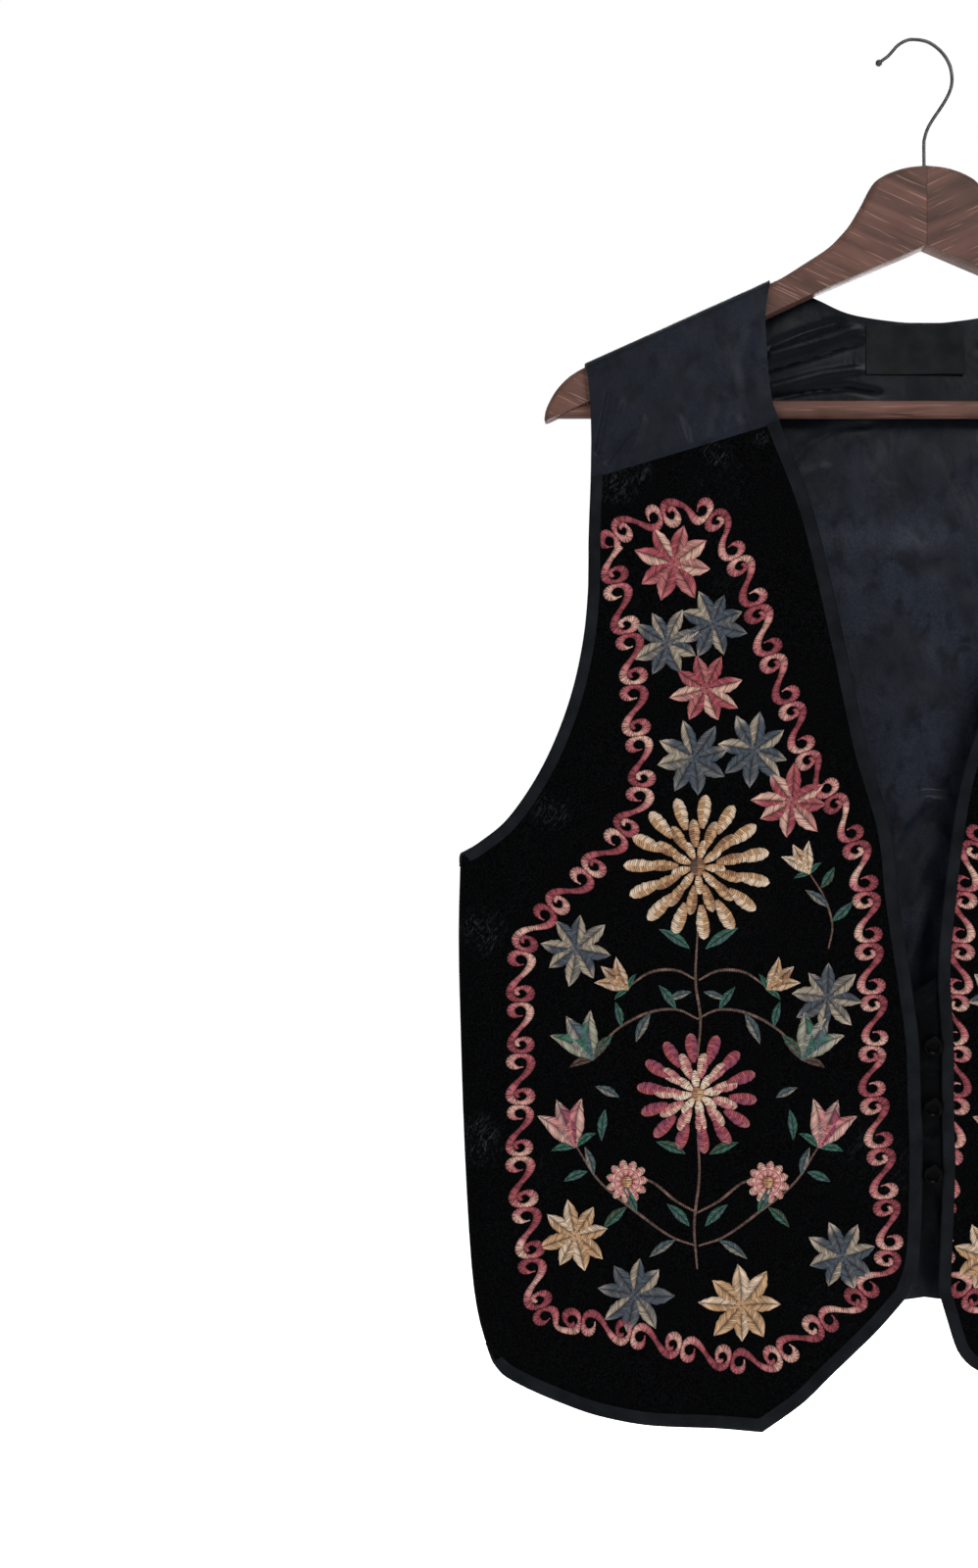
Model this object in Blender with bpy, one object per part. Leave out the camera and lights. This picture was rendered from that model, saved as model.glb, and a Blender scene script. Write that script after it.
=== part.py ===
"""A velvet vest with satin yokes and back, hanging on a flat wooden hanger.

Metres in the scene, +Z up, +X to the viewer's right, -Y towards the viewer. The origin is
the underside of the hook's crown, straight above the hanger's stem. Tables are in millimetres:
u is the distance from the vest's centre line to either side, z the height above the origin.
"""

import math

import bmesh
import bpy
import numpy as np
from mathutils import Vector

MM = 0.001

# Cloth
VELVET_WALL = 2.0
SATIN_WALL = 1.5
BINDING_WALL = 2.6
SEAM_GAP = 0.3
EDGE_BINDING_WIDTHS = {-1: 8.0, 1: 7.0}
ARMHOLE_BINDING_WIDTH = 6.8
BACK_ARMHOLE_INSET = 3.0
VEST_SHIFT = 2.0

# Roundness where front and back meet, measured inwards from the seam
SIDE_ROUND = 45.0
RIDGE_ROUND = 5.0
EDGE_FLOOR = 0.001

# Corners of the pattern, as (u, z)
SHOULDER_TIP = (199.8, -187.5)
NECK_POINT = (93.0, -139.2)
YOKE_OUTER = (196.9, -255.9)
YOKE_INNER = (87.7, -223.2)
UNDERARM = (272.1, -472.2)
HEM_CORNER = (252.1, -770.9)
HEM_POINT = (97.8, -806.2)
FRONT_CORNER = (13.7, -727.0)
RIGHT_CORNER = (3.6, -724.0)
BACK_NECK_Z = -160.9
BACK_HEM_Z = -733.2

# Outline stretches between those corners, as (u, z)
YOKE_ARM_EDGE = [SHOULDER_TIP, (197.4, -206.9), (196.6, -232.0), YOKE_OUTER]
YOKE_NECK_EDGE = [NECK_POINT, (96.1, -165.2), (92.8, -206.9), YOKE_INNER]
ARMHOLE = [
    YOKE_OUTER,
    (198.1, -290.0),
    (198.6, -322.0),
    (202.0, -353.2),
    (210.2, -386.9),
    (224.3, -420.9),
    (243.5, -450.4),
    (260.7, -465.3),
    UNDERARM,
]
SIDE_SEAM = [
    UNDERARM,
    (273.2, -520.0),
    (272.1, -575.0),
    (269.8, -643.5),
    (265.8, -712.0),
    (260.7, -746.3),
    HEM_CORNER,
]
HEM = [
    HEM_CORNER,
    (243.6, -776.8),
    (218.4, -787.5),
    (193.0, -796.6),
    (163.7, -802.2),
    (125.4, -804.0),
    HEM_POINT,
]
DIAGONAL = [HEM_POINT, (74.3, -789.4), (57.3, -772.6), (32.0, -747.9), FRONT_CORNER]
FRONT_EDGE = [
    FRONT_CORNER,
    (7.2, -703.7),
    (5.5, -648.5),
    (6.6, -611.9),
    (7.6, -582.0),
    (11.7, -549.9),
    (19.5, -497.5),
    (24.0, -458.1),
    (38.1, -408.0),
    (51.6, -344.3),
    (68.0, -275.6),
    YOKE_INNER,
]

# The right front is cut a little fuller, so its edge and its low corner lie nearer the centre
RIGHT_DIAGONAL = [
    HEM_POINT,
    (74.0, -794.0),
    (50.0, -782.3),
    (25.5, -770.0),
    (17.4, -763.0),
    (13.4, -756.0),
    (9.3, -743.2),
    RIGHT_CORNER,
]
RIGHT_FRONT_EDGE = [
    RIGHT_CORNER,
    (4.4, -700.0),
    (5.9, -656.0),
    (5.2, -618.0),
    (5.0, -580.0),
    (3.0, -545.0),
    (4.4, -516.7),
    (9.0, -474.5),
    (15.9, -432.2),
    (25.5, -400.5),
    (45.0, -343.5),
    (67.0, -281.0),
    YOKE_INNER,
]
BACK_NECK = [NECK_POINT, (67.3, -145.3), (43.1, -155.7), (15.4, -160.3), (0.0, BACK_NECK_Z)]
BACK_HEM = [HEM_CORNER, (190.0, -768.0), (100.0, -748.0), (0.0, BACK_HEM_Z)]

# Half of the vest's thickness as it hangs, by height
HALF_DEPTH = [
    {"z": -900.0, "half_depth": 11.0},
    {"z": -800.0, "half_depth": 11.0},
    {"z": -620.0, "half_depth": 13.0},
    {"z": -480.0, "half_depth": 13.5},
    {"z": -300.0, "half_depth": 12.0},
    {"z": -230.0, "half_depth": 11.5},
    {"z": -100.0, "half_depth": 11.5},
]

# The largest folds: a soft ridge (height > 0) or trough from one place to another
FRONT_FOLDS = [
    {"start": (215, -440), "end": (120, -520), "half_width": 30, "height": 1.2},
    {"start": (225, -600), "end": (200, -740), "half_width": 34, "height": -1.2},
    {"start": (110, -560), "end": (95, -700), "half_width": 55, "height": 1.5},
    {"start": (60, -420), "end": (40, -520), "half_width": 26, "height": -1.0},
]
BACK_FOLDS = [
    {"start": (-150, -300), "end": (-60, -420), "half_width": 32, "height": 2.0},
    {"start": (140, -310), "end": (70, -410), "half_width": 32, "height": 1.8},
    {"start": (-120, -560), "end": (-135, -760), "half_width": 36, "height": 2.2},
    {"start": (95, -540), "end": (120, -750), "half_width": 36, "height": 2.0},
    {"start": (0, -480), "end": (-10, -720), "half_width": 42, "height": -2.0},
]

# How finely the cloth is divided
COLUMN_GRADING = 1.5
FRONT_COLUMNS = 14
FRONT_POINT_COLUMN = 10
BACK_COLUMNS = 12
BACK_NECK_COLUMN = 8
NECK_STEPS = [0.8, 2.2, 5.0]
ARMHOLE_ROWS = 10
SIDE_ROWS = 11
RIDGE_DROPS = [0.0, 0.38, 1.46, 3.09, 5.0, 9.0, 15.0, 24.0]
YOKE_DROPS = [36.0, 50.0, 64.0, 78.0]

# Closing
STRIP_HALF_WIDTH = 13.0
STRIP_TOP = -545.0
STRIP_BOTTOM = -700.0
STRIP_WALL = 1.2
BUTTON_HEIGHTS = [-582.6, -618.1, -656.4]
BUTTON_RADIUS = 5.7
SHANK_RADIUS = 1.8
SHANK_LENGTH = 3.3
LOOP_CORD_RADIUS = 0.7

# Neck label
LABEL_CENTRE = -4.8
LABEL_SIZE = (58.0, 29.0)
LABEL_TOP = -162.3
LABEL_WALL = 0.8

# Hanger, as (distance from its centre, z)
WOOD_HALF_THICKNESS = 7.5
NECK_TOP_Z = -72.9
NECK_OUTLINE = [
    (0.0, NECK_TOP_Z),
    (10.2, -74.0),
    (17.0, -75.8),
    (23.8, -78.6),
    (30.7, -83.7),
    (37.5, -96.2),
    (44.3, -107.6),
    (51.1, -115.5),
    (57.9, -121.8),
    (72.0, -131.0),
    (83.0, -137.9),
    (91.0, -141.7),
]
ARM_END = [
    (197.8, -190.1),
    (202.5, -192.6),
    (208.6, -197.0),
    (214.8, -203.9),
    (219.6, -212.6),
    (221.2, -218.4),
    (220.5, -221.5),
]
ARM_UNDERSIDE = [(186.0, -206.2), (92.0, -160.2), (60.0, -145.3), (0.0, -119.8)]
TOP_EDGE_ROUND = 4.0
LOWER_EDGE_ROUND = 0.8
BAR_RADIUS = 5.25
BAR_Z = -214.0
HOOK_WIRE_RADIUS = 1.0
HOOK_BALL_RADIUS = 2.0
HOOK_LINE = [
    (-0.1, -59.5),
    (0.4, -55.3),
    (1.9, -50.6),
    (4.7, -45.4),
    (8.8, -39.4),
    (12.8, -33.0),
    (15.4, -27.2),
    (16.3, -21.6),
    (15.4, -14.7),
    (12.6, -8.7),
    (7.9, -3.4),
    (1.4, 0.6),
    (-6.8, 1.8),
    (-11.6, 0.6),
    (-15.8, -2.2),
    (-20.4, -7.4),
    (-24.9, -10.9),
]


def fresh_scene():
    for obj in list(bpy.data.objects):
        bpy.data.objects.remove(obj, do_unlink=True)


def make_material(name, colour, roughness, metallic=0.0):
    material = bpy.data.materials.new(name)
    material.use_nodes = True
    shader = material.node_tree.nodes["Principled BSDF"]
    shader.inputs["Base Color"].default_value = (*colour, 1.0)
    shader.inputs["Roughness"].default_value = roughness
    shader.inputs["Metallic"].default_value = metallic
    return material


def add_object(name, mesh, material, parent):
    mesh.materials.append(material)
    obj = bpy.data.objects.new(name, mesh)
    bpy.context.scene.collection.objects.link(obj)
    obj.parent = parent
    return obj


def mesh_from_bmesh(name, bm, smooth_angle):
    if bm.calc_volume(signed=True) < 0:
        bmesh.ops.reverse_faces(bm, faces=bm.faces[:])
    mesh = bpy.data.meshes.new(name)
    bm.to_mesh(mesh)
    bm.free()
    mesh.shade_smooth()
    mesh.set_sharp_from_angle(angle=math.radians(smooth_angle))
    return mesh


def along(points, shares):
    """Points on the polyline at these shares of its length."""
    points = np.asarray(points, float)
    steps = np.linalg.norm(np.diff(points, axis=0), axis=1)
    reached = np.concatenate([[0.0], np.cumsum(steps)])
    wanted = np.asarray(shares) * reached[-1]
    return np.stack([np.interp(wanted, reached, points[:, i]) for i in (0, 1)], axis=1)


def smooth_curve(points, steps=12):
    """A fine polyline through the points, bending smoothly at each (Catmull-Rom)."""
    points = np.asarray(points, float)
    first = 2 * points[0] - points[1]
    last = 2 * points[-1] - points[-2]
    padded = np.vstack([first, points, last])
    share = np.linspace(0.0, 1.0, steps, endpoint=False)[:, None]
    stretches = []
    for a, b, c, d in zip(padded, padded[1:], padded[2:], padded[3:]):
        curve = 2 * b + (c - a) * share
        curve += (2 * a - 5 * b + 4 * c - d) * share**2
        curve += (3 * b - a - 3 * c + d) * share**3
        stretches.append(curve / 2)
    return np.vstack([*stretches, points[-1]])


def inset(points, width, start_way, end_way):
    """The curve moved to its right by width. Its two ends slide along the ways given."""
    points = np.asarray(points, float)
    steps = np.diff(points, axis=0)
    steps /= np.linalg.norm(steps, axis=1)[:, None]
    rights = np.stack([steps[:, 1], -steps[:, 0]], axis=1)
    moved = points.copy()
    for i in range(1, len(points) - 1):
        before, after = rights[i - 1], rights[i]
        moved[i] += width * (before + after) / (1 + before @ after)
    for i, way in ((0, start_way), (-1, end_way)):
        way = np.asarray(way, float)
        moved[i] += width * way / abs(way @ rights[i])
    return moved


def unit(start, end):
    way = np.subtract(end, start).astype(float)
    return way / np.linalg.norm(way)


def nearest_on(points, path):
    """For each point: its distance to the path, and the direction away from the path."""
    best = np.full(len(points), np.inf)
    away = np.zeros((len(points), 2))
    for start, end in zip(path[:-1], path[1:]):
        run = end - start
        share = np.clip((points - start) @ run / (run @ run), 0.0, 1.0)
        gap = points - (start + share[:, None] * run)
        distance = np.linalg.norm(gap, axis=1)
        closer = distance < best
        best[closer] = distance[closer]
        inward = np.array([run[1], -run[0]]) / np.linalg.norm(run)
        safe = np.where(distance > 1e-6, distance, 1.0)[:, None]
        direction = np.where(distance[:, None] > 1e-6, gap / safe, inward)
        away[closer] = direction[closer]
    return best, away


def rounding(distance, width):
    """1 away from a closed seam, falling in a quarter ellipse to nothing on it, and its slope."""
    left = 1.0 - np.minimum(distance / width, 1.0)
    height = np.sqrt(np.maximum(1.0 - left**2, EDGE_FLOOR**2))
    return height, left / (width * height)


SIDE_LINE = smooth_curve(SIDE_SEAM, 3)
RIDGE_LINE = np.array([NECK_POINT, SHOULDER_TIP])


def fold_height(points, folds):
    total = np.zeros(len(points))
    for fold in folds:
        path = np.array([fold["start"], fold["end"]], float)
        distance, _ = nearest_on(points, path)
        share = np.minimum(distance / fold["half_width"], 1.0)
        total += fold["height"] * 0.5 * (1.0 + np.cos(math.pi * share))
    return total


def nominal_depth(points, folds):
    rows = np.array([(row["z"], row["half_depth"]) for row in HALF_DEPTH])
    return np.interp(points[:, 1], rows[:, 0], rows[:, 1]) + fold_height(points, folds)


def surface(points, folds):
    """Depth of the cloth's outer face at each (x, z), and its outward normal (x, depth, z)."""
    points = np.asarray(points, float)
    mirrored = np.stack([np.abs(points[:, 0]), points[:, 1]], axis=1)
    side_way = np.where(points[:, 0] < 0, -1.0, 1.0)
    side_distance, side_away = nearest_on(mirrored, SIDE_LINE)
    ridge_distance, ridge_away = nearest_on(mirrored, RIDGE_LINE)
    side, side_slope = rounding(side_distance, SIDE_ROUND)
    ridge, ridge_slope = rounding(ridge_distance, RIDGE_ROUND)
    full = nominal_depth(points, folds)
    step = 1.0
    slope = np.zeros_like(points)
    for axis in (0, 1):
        shift = np.zeros(2)
        shift[axis] = step
        ahead = nominal_depth(points + shift, folds)
        behind = nominal_depth(points - shift, folds)
        slope[:, axis] = (ahead - behind) / (2 * step) * side * ridge
    seams = (full * ridge * side_slope)[:, None] * side_away
    seams += (full * side * ridge_slope)[:, None] * ridge_away
    seams[:, 0] *= side_way
    slope += seams
    normal = np.stack([-slope[:, 0], np.ones(len(points)), -slope[:, 1]], axis=1)
    normal /= np.linalg.norm(normal, axis=1)[:, None]
    return full * side * ridge + SEAM_GAP / 2, normal


def layer(points, folds, offset, facing):
    """Places of the (x, z) points on the cloth, offset outwards. facing is -1 on the front."""
    depth, normal = surface(points, folds)
    x = points[:, 0] + offset * normal[:, 0]
    y = facing * np.maximum(depth + offset * normal[:, 1], SEAM_GAP / 2)
    z = points[:, 1] + offset * normal[:, 2]
    return np.stack([x, y, z], axis=1) * MM


def wall_mesh(name, grid, folds, facing, outer, inner):
    """A closed wall over a grid of (x, z) points, between two offsets from the outer face."""
    rows, columns, _ = grid.shape
    flat = grid.reshape(-1, 2)
    bm = bmesh.new()
    faces_of = []
    for offset in (outer, inner):
        places = layer(flat, folds, offset, facing)
        faces_of.append([bm.verts.new(place) for place in places])
    for verts, order in zip(faces_of, ((0, 1, columns + 1, columns), (0, columns, columns + 1, 1))):
        for r in range(rows - 1):
            for c in range(columns - 1):
                corner = r * columns + c
                bm.faces.new([verts[corner + step] for step in order])
    top = list(range(columns))
    right = [r * columns + columns - 1 for r in range(1, rows)]
    bottom = [(rows - 1) * columns + c for c in range(columns - 2, -1, -1)]
    left = [r * columns for r in range(rows - 2, 0, -1)]
    ring = top + right + bottom + left
    front, back = faces_of
    for a, b in zip(ring, ring[1:] + ring[:1]):
        bm.faces.new((front[b], front[a], back[a], back[b]))
    return mesh_from_bmesh(name, bm, 50)


def patch(top, bottom, left, right, column_shares, row_shares):
    """Fills four boundary curves that meet at their ends, as a grid [row, column]."""
    s = np.asarray(column_shares)[None, :, None]
    t = np.asarray(row_shares)[:, None, None]
    across = (1 - s) * left[:, None, :] + s * right[:, None, :]
    down = (1 - t) * top[None, :, :] + t * bottom[None, :, :]
    corners = (1 - t) * ((1 - s) * top[0] + s * top[-1])
    corners = corners + t * ((1 - s) * bottom[0] + s * bottom[-1])
    return across + down - corners


def height_shares(points):
    return (points[:, 1] - points[0, 1]) / (points[-1, 1] - points[0, 1])


def at_heights(path, heights):
    """Points of a path that runs up or down, at these heights."""
    order = np.argsort(path[:, 1])
    across = np.interp(heights, path[order, 1], path[order, 0])
    return np.stack([across, heights], axis=1)


def graded(count, power=COLUMN_GRADING):
    return (np.arange(count + 1) / count) ** power


def joined(first, second, shares, corner):
    """Two curves end to end, with the corner between them on one of the shares."""
    split = shares[corner]
    before = along(first, shares[: corner + 1] / split)
    after = along(second, (shares[corner:] - split) / (1 - split))
    return np.vstack([before, after[1:]])


def sided(points, side):
    return points * np.array([side, 1.0])


class FrontPattern:
    """The front's sampled outline, and the same outline inside its bindings."""

    def __init__(self, side):
        diagonal, front_edge = DIAGONAL, FRONT_EDGE
        if side > 0:
            diagonal, front_edge = RIGHT_DIAGONAL, RIGHT_FRONT_EDGE
        self.binding_width = EDGE_BINDING_WIDTHS[side]
        self.shares = graded(FRONT_COLUMNS)
        armhole = smooth_curve(ARMHOLE)
        self.armhole = along(armhole, np.linspace(0, 1, ARMHOLE_ROWS + 1))
        low = joined(smooth_curve(HEM), smooth_curve(diagonal), self.shares, FRONT_POINT_COLUMN)
        heights = self.row_heights(front_edge[0][1])
        edge = at_heights(smooth_curve(front_edge), heights[::-1])
        self.edge = np.vstack([low, edge[1:]])

    def row_heights(self, corner_height):
        side = along(SIDE_LINE, np.linspace(0, 1, SIDE_ROWS + 1))
        rows = np.vstack([self.armhole, side[1:]])
        return YOKE_INNER[1] + height_shares(rows) * (corner_height - YOKE_INNER[1])

    def inside_armhole(self, width):
        seam_way = unit(YOKE_OUTER, YOKE_INNER)
        side_way = unit(SIDE_LINE[0], SIDE_LINE[1])
        return inset(self.armhole, width, seam_way, side_way)

    def inside_edge(self, width):
        side_way = unit(SIDE_LINE[-1], SIDE_LINE[-2])
        seam_way = unit(YOKE_INNER, YOKE_OUTER)
        return inset(self.edge, width, side_way, seam_way)

    def panel_grid(self):
        half = SEAM_GAP / 2
        armhole = self.inside_armhole(ARMHOLE_BINDING_WIDTH + half)
        edge = self.inside_edge(self.binding_width + half)
        armhole[0] += (0.0, -half)
        edge[-1] += (0.0, -half)
        low = edge[: FRONT_COLUMNS + 1]
        heights = np.linspace(armhole[-1][1], low[0][1], SIDE_ROWS + 1)
        side = at_heights(SIDE_LINE, heights)
        left = np.vstack([armhole, side[1:]])
        right = edge[FRONT_COLUMNS:][::-1]
        top = along([left[0], right[0]], self.shares)
        return patch(top, low, left, right, self.shares, height_shares(left))


def band_grid(outer, inner, cells=2):
    """A grid that runs along a band, from its outer edge to its inner edge."""
    shares = np.linspace(0, 1, cells + 1)[:, None, None]
    return (1 - shares) * outer[None] + shares * inner[None]


def yoke_grid():
    shares = graded(FRONT_COLUMNS)
    drops = np.array(RIDGE_DROPS + YOKE_DROPS)
    rows = drops / drops[-1]
    half = np.array([0.0, SEAM_GAP / 2])
    left = along(smooth_curve(YOKE_ARM_EDGE), rows)
    right = along(smooth_curve(YOKE_NECK_EDGE), rows)
    left[-1] += half
    right[-1] += half
    top = along([SHOULDER_TIP, NECK_POINT], shares)
    bottom = along([left[-1], right[-1]], shares)
    return patch(top, bottom, left, right, shares, rows)


def back_shares():
    """Column shares of half the back, closer together just inside the neck point."""
    shares = graded(BACK_COLUMNS)
    split = shares[BACK_NECK_COLUMN]
    neck = smooth_curve(BACK_NECK)
    length = np.linalg.norm(np.diff(neck, axis=0), axis=1).sum()
    close = split + (1 - split) * np.array(NECK_STEPS) / length
    return np.concatenate([shares[: BACK_NECK_COLUMN + 1], close, shares[BACK_NECK_COLUMN + 1 :]])


def back_grid():
    """Both halves of the back, from the left side to the right."""
    shares = back_shares()
    outside = np.vstack([smooth_curve(YOKE_ARM_EDGE), smooth_curve(ARMHOLE)[1:]])
    length = np.linalg.norm(np.diff(outside, axis=0), axis=1).sum()
    near_ridge = np.array(RIDGE_DROPS) / length
    below = np.linspace(near_ridge[-1], 1.0, ARMHOLE_ROWS + 2)[1:]
    shares_down = np.concatenate([near_ridge, below])
    armhole = along(outside, shares_down)
    armhole[:, 0] -= BACK_ARMHOLE_INSET * np.sqrt(np.sin(math.pi * shares_down))
    side = along(SIDE_LINE, np.linspace(0, 1, SIDE_ROWS + 1))
    left = np.vstack([armhole, side[1:]])
    rows = height_shares(left)
    heights = BACK_NECK_Z + rows * (BACK_HEM_Z - BACK_NECK_Z)
    right = np.stack([np.zeros_like(heights), heights], axis=1)
    top = joined([SHOULDER_TIP, NECK_POINT], smooth_curve(BACK_NECK), shares, BACK_NECK_COLUMN)
    bottom = along(smooth_curve(BACK_HEM), shares)
    half = patch(top, bottom, left, right, shares, rows)
    mirrored = half * np.array([-1.0, 1.0])
    return np.concatenate([mirrored, half[:, -2::-1]], axis=1)


def build_front(side, name, velvet, binding_material, parent):
    pattern = FrontPattern(side)
    half = SEAM_GAP / 2
    proud = (BINDING_WALL - VELVET_WALL) / 2
    folds = [dict(fold) for fold in FRONT_FOLDS]
    for fold in folds:
        for end in ("start", "end"):
            fold[end] = (side * fold[end][0], fold[end][1])
    panel = sided(pattern.panel_grid(), side)
    mesh = wall_mesh(f"front_{name}", panel, folds, -1, 0.0, -VELVET_WALL)
    add_object(f"front_{name}", mesh, velvet, parent)
    armhole = pattern.armhole.copy()
    inner = pattern.inside_armhole(ARMHOLE_BINDING_WIDTH - half)
    edge = pattern.edge.copy()
    edge_inner = pattern.inside_edge(pattern.binding_width - half)
    for points in (armhole, inner):
        points[0] += (0.0, -half)
    for points in (edge, edge_inner):
        points[-1] += (0.0, -half)
    for kind, outer_line, inner_line in (
        ("armhole_binding", armhole, inner),
        ("edge_binding", edge, edge_inner),
    ):
        grid = sided(band_grid(outer_line, inner_line), side)
        part = f"{kind}_{name}"
        mesh = wall_mesh(part, grid, folds, -1, proud, proud - BINDING_WALL)
        add_object(part, mesh, binding_material, parent)


def build_yoke(side, name, satin, parent):
    grid = sided(yoke_grid(), side)
    mesh = wall_mesh(f"yoke_{name}", grid, [], -1, 0.0, -SATIN_WALL)
    add_object(f"yoke_{name}", mesh, satin, parent)


def build_back(satin, parent):
    mesh = wall_mesh("back", back_grid(), BACK_FOLDS, 1, 0.0, -SATIN_WALL)
    add_object("back", mesh, satin, parent)


def level_grid(across, heights):
    return np.array([[(x, z) for x in across] for z in heights], float)


def build_label(woven, parent):
    width, height = LABEL_SIZE
    across = np.linspace(LABEL_CENTRE - width / 2, LABEL_CENTRE + width / 2, 7)
    heights = np.linspace(LABEL_TOP, LABEL_TOP - height, 4)
    outer = -(SATIN_WALL + SEAM_GAP)
    mesh = wall_mesh("label", level_grid(across, heights), BACK_FOLDS, 1, outer, outer - LABEL_WALL)
    add_object("label", mesh, woven, parent)


def strip_depth(height):
    """Depth of the button strip's outer face on the centre line."""
    depth, _ = surface(np.array([[0.0, height]]), [])
    return float(depth[0]) - VELVET_WALL - (BINDING_WALL - VELVET_WALL) / 2 - SEAM_GAP


def build_button_strip(satin, parent):
    across = np.linspace(-STRIP_HALF_WIDTH, STRIP_HALF_WIDTH, 5)
    heights = np.linspace(STRIP_TOP, STRIP_BOTTOM, 9)
    outer = -(VELVET_WALL + (BINDING_WALL - VELVET_WALL) / 2 + SEAM_GAP)
    mesh = wall_mesh("button_strip", level_grid(across, heights), [], -1, outer, outer - STRIP_WALL)
    add_object("button_strip", mesh, satin, parent)


def button_mesh():
    """A rimmed button on a shank, turned about Y. Its foot is at the origin, its face at -Y."""
    rise = SHANK_LENGTH
    rim = BUTTON_RADIUS
    profile = [
        (0.0, 0.0),
        (SHANK_RADIUS, 0.0),
        (SHANK_RADIUS, rise),
        (rim - 0.7, rise),
        (rim, rise + 0.7),
        (rim, rise + 1.7),
        (rim - 0.7, rise + 2.3),
        (rim - 1.6, rise + 1.9),
        (rim - 3.4, rise + 1.6),
        (0.0, rise + 1.8),
    ]
    bm = bmesh.new()
    verts = [bm.verts.new((r * MM, -d * MM, 0.0)) for r, d in profile]
    edges = [bm.edges.new(pair) for pair in zip(verts, verts[1:])]
    bmesh.ops.spin(
        bm,
        geom=verts + edges,
        cent=(0, 0, 0),
        axis=(0, 1, 0),
        angle=math.tau,
        steps=18,
        use_merge=True,
    )
    bmesh.ops.remove_doubles(bm, verts=bm.verts[:], dist=0.00001)
    bmesh.ops.recalc_face_normals(bm, faces=bm.faces[:])
    return mesh_from_bmesh("button", bm, 35)


def swept_mesh(name, path, radii, sides):
    """A round rod along a path, with a radius at each point and flat ends."""
    path = [Vector(point) for point in path]
    ways = []
    for i in range(len(path)):
        before = path[max(i - 1, 0)]
        after = path[min(i + 1, len(path) - 1)]
        ways.append((after - before).normalized())
    across = ways[0].orthogonal().normalized()
    bm = bmesh.new()
    rings = []
    for point, way, radius in zip(path, ways, radii):
        across = (across - way * across.dot(way)).normalized()
        up = way.cross(across)
        ring = []
        for k in range(sides):
            angle = math.tau * k / sides
            offset = across * math.cos(angle) + up * math.sin(angle)
            ring.append(bm.verts.new(point + offset * radius))
        rings.append(ring)
    for ring, following in zip(rings, rings[1:]):
        for k in range(sides):
            after = (k + 1) % sides
            bm.faces.new((ring[k], ring[after], following[after], following[k]))
    bm.faces.new(rings[0][::-1])
    bm.faces.new(rings[-1])
    return mesh_from_bmesh(name, bm, 50)


def loop_path():
    """From the left front's edge, round the shank and back, about the button's own foot."""
    bend = SHANK_RADIUS + 0.4 + LOOP_CORD_RADIUS
    depth = -(SHANK_LENGTH / 2)
    start = -4.2
    points = [(start, depth, bend), (start / 2, depth, bend)]
    for k in range(9):
        angle = math.pi / 2 - math.pi * k / 8
        points.append((bend * math.cos(angle), depth, bend * math.sin(angle)))
    points += [(start / 2, depth, -bend), (start, depth, -bend)]
    return [(x * MM, y * MM, z * MM) for x, y, z in points]


def build_closing(satin, horn, cord, parent):
    build_button_strip(satin, parent)
    button = button_mesh()
    path = loop_path()
    loop = swept_mesh("loop", path, [LOOP_CORD_RADIUS * MM] * len(path), 6)
    for number, height in enumerate(BUTTON_HEIGHTS, start=1):
        foot = (0.0, -(strip_depth(height) + SEAM_GAP) * MM, height * MM)
        for name, mesh, material in (("button", button, horn), ("loop", loop, cord)):
            if not mesh.materials:
                mesh.materials.append(material)
            obj = bpy.data.objects.new(f"{name}_{number}", mesh)
            bpy.context.scene.collection.objects.link(obj)
            obj.parent = parent
            obj.location = foot


def wood_outline():
    """One half of the hanger, from the top of the neck to the tip and back underneath."""
    upper = list(smooth_curve(NECK_OUTLINE, 2)) + [np.array(p) for p in ARM_END]
    return [tuple(p) for p in upper] + list(ARM_UNDERSIDE)


def build_wood_half(side, name, wood, parent):
    outline = wood_outline()
    upper_count = len(outline) - len(ARM_UNDERSIDE)
    thickness = WOOD_HALF_THICKNESS * MM
    bm = bmesh.new()
    loops = []
    for depth in (-thickness, thickness):
        ring = []
        for across, height in outline:
            x = side * max(across, SEAM_GAP / 2) * MM
            ring.append(bm.verts.new((x, depth, height * MM)))
        loops.append(ring)
    count = len(outline)
    for ring in loops:
        bm.faces.new(ring)
    for k in range(count):
        after = (k + 1) % count
        bm.faces.new((loops[0][k], loops[0][after], loops[1][after], loops[1][k]))
    bmesh.ops.recalc_face_normals(bm, faces=bm.faces[:])
    last_upper = upper_count - 2
    runs = ((0, last_upper, TOP_EDGE_ROUND, 3), (last_upper, count - 1, LOWER_EDGE_ROUND, 1))
    kept = [[vert.co.copy() for vert in ring] for ring in loops]
    for first, last, width, segments in runs:
        edges = []
        for ring in kept:
            for k in range(first, last):
                middle = (ring[k] + ring[k + 1]) / 2
                edges += [e for e in bm.edges if edge_middle(e, middle)]
        bmesh.ops.bevel(
            bm,
            geom=edges,
            offset=width * MM,
            segments=segments,
            profile=0.5,
            affect="EDGES",
            clamp_overlap=False,
        )
    obj = add_object(f"hanger_half_{name}", mesh_from_bmesh("wood", bm, 40), wood, parent)
    return obj


def edge_middle(edge, place):
    middle = (edge.verts[0].co + edge.verts[1].co) / 2
    return (middle - place).length < 0.0002


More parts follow.
